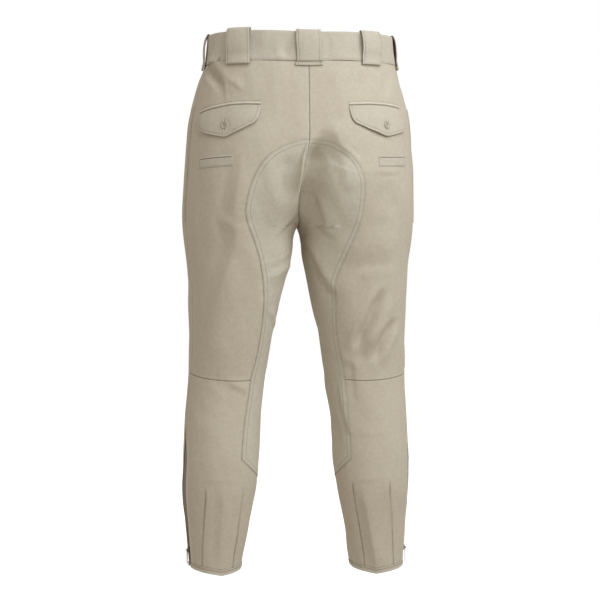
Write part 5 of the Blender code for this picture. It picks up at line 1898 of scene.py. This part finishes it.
for side, (around, height) in flapButtons.items():
    stand = float(flapStand(side, around, buttonShape["flapDrop"])) + buttonShape["offFlap"]
    place = np.array([around * mm]), np.array([height * mm])
    low, high = (backSpots(side, *place, lift * mm)[0] for lift in (stand, stand + 2))
    makeButton("flap_button_" + sideNames[side], buttonShape["flap"], low, high - low)
spot = np.array([lapShape["button"] * mm - waistReach()])
low, high = (waistAt(spot, 0.0, lift * mm)[0] for lift in (3.2, 5.2))
makeButton("waist_button", buttonShape["waist"], low, high - low)

# Stitching over everything sewn so far

stitchShape = {"Stitch": 2.4 * mm, "Gap": 0.8 * mm, "Thread radius": 0.3 * mm, "Seed": 4}
lines = [(line, np.zeros_like(line)) for line in stitchLines]
stitching = growAlong("topstitching", lines, addThread, stitchShape, threadLook)
stitching.data.shade_smooth()
finishHard(stitching)
print("stitching made:", len(stitching.data.polygons), "faces")

# Studio: pale floor, soft light and the camera

studio = {
    "floor": -1.0,
    "floorSize": 30,
    "view": (7, 4.0, -0.431, 0.0026),  # turn from straight behind, distance, height, slide
    "lens": 137.14,
    "key": {"turn": -48, "rise": 40, "distance": 2.4, "size": 1.15, "power": 21},
    "front": {"turn": -20, "rise": 25, "distance": 2.4, "size": 1.15, "power": 10.5},
    "top": {"turn": -3, "rise": 60, "distance": 2.4, "size": 1.15, "power": 8.5},
    "aim": -0.4,  # height that the lamps point at
    "lampColour": (0.90, 1.0, 1.09),
    "sky": 0.50,
    "skyColour": (1.05, 1.0, 0.93, 1),
}


def lookAt(thing, place, target):
    thing.location = place
    thing.rotation_euler = (Vector(target) - Vector(place)).to_track_quat("-Z", "Y").to_euler()


def addLight(name, spec):
    turn, rise = math.radians(spec["turn"]), math.radians(spec["rise"])
    light = bpy.data.lights.new(name, "AREA")
    light.shape = "DISK"
    light.size = spec["size"]
    light.energy = spec["power"]
    light.color = studio["lampColour"]
    lamp = addObject(name, light)
    middle = Vector((0, 0, studio["aim"]))
    way = Vector((math.sin(turn) * math.cos(rise), math.cos(turn) * math.cos(rise), math.sin(rise)))
    lookAt(lamp, middle + way * spec["distance"], middle)


def addFloor():
    half, level = studio["floorSize"] / 2, studio["floor"]
    corners = [(-half, -half, level), (half, -half, level), (half, half, level), (-half, half, level)]
    mesh = bpy.data.meshes.new("floor")
    mesh.from_pydata(corners, [], [(0, 1, 2, 3)])
    look, tree = newLook("matt_white_paint")
    settings = {"Base Color": (0.82, 0.82, 0.82, 1), "Roughness": 0.9}
    settings.update({"Emission Color": (1, 1, 1, 1), "Emission Strength": 0.8})
    shader = addNode(tree, "ShaderNodeBsdfPrincipled", settings)
    addNode(tree, "ShaderNodeOutputMaterial", {}, {"Surface": (shader, "BSDF")})
    mesh.materials.append(look)
    floor = addObject("floor", mesh)
    floor.visible_diffuse = False  # shows pale without lighting the cloth from below
    floor.visible_glossy = False


def addWorld():
    # lights the object softly and shows as white behind it
    world = bpy.data.worlds.new("studio")
    world.use_nodes = True
    tree = world.node_tree
    tree.nodes.clear()
    seen = addNode(tree, "ShaderNodeLightPath")
    strength = addRange(tree, studio["sky"], 1.0, (seen, "Is Camera Ray"))
    settings = {"data_type": "RGBA", 6: studio["skyColour"], 7: (1, 1, 1, 1)}
    tint = addNode(tree, "ShaderNodeMix", settings, {0: (seen, "Is Camera Ray")})
    sky = addNode(tree, "ShaderNodeBackground", {}, {"Color": (tint, 2), "Strength": (strength, "Result")})
    addNode(tree, "ShaderNodeOutputWorld", {}, {"Surface": (sky, "Background")})
    bpy.context.scene.world = world


def addCamera():
    degrees, distance, height, slide = studio["view"]
    turn = math.radians(degrees)
    place = Vector((math.sin(turn) * distance, math.cos(turn) * distance, height))
    place = place + Vector((-math.cos(turn), math.sin(turn), 0)) * slide
    camera = bpy.data.cameras.new("camera")
    camera.lens = studio["lens"]
    camera.sensor_width = 36
    viewer = addObject("camera", camera)
    lookAt(viewer, place, place - Vector((math.sin(turn), math.cos(turn), 0)))
    bpy.context.scene.camera = viewer


addFloor()
addWorld()
for name in ("key", "front", "top"):
    addLight(name, studio[name])
addCamera()
bpy.context.scene.view_settings.view_transform = "Standard"
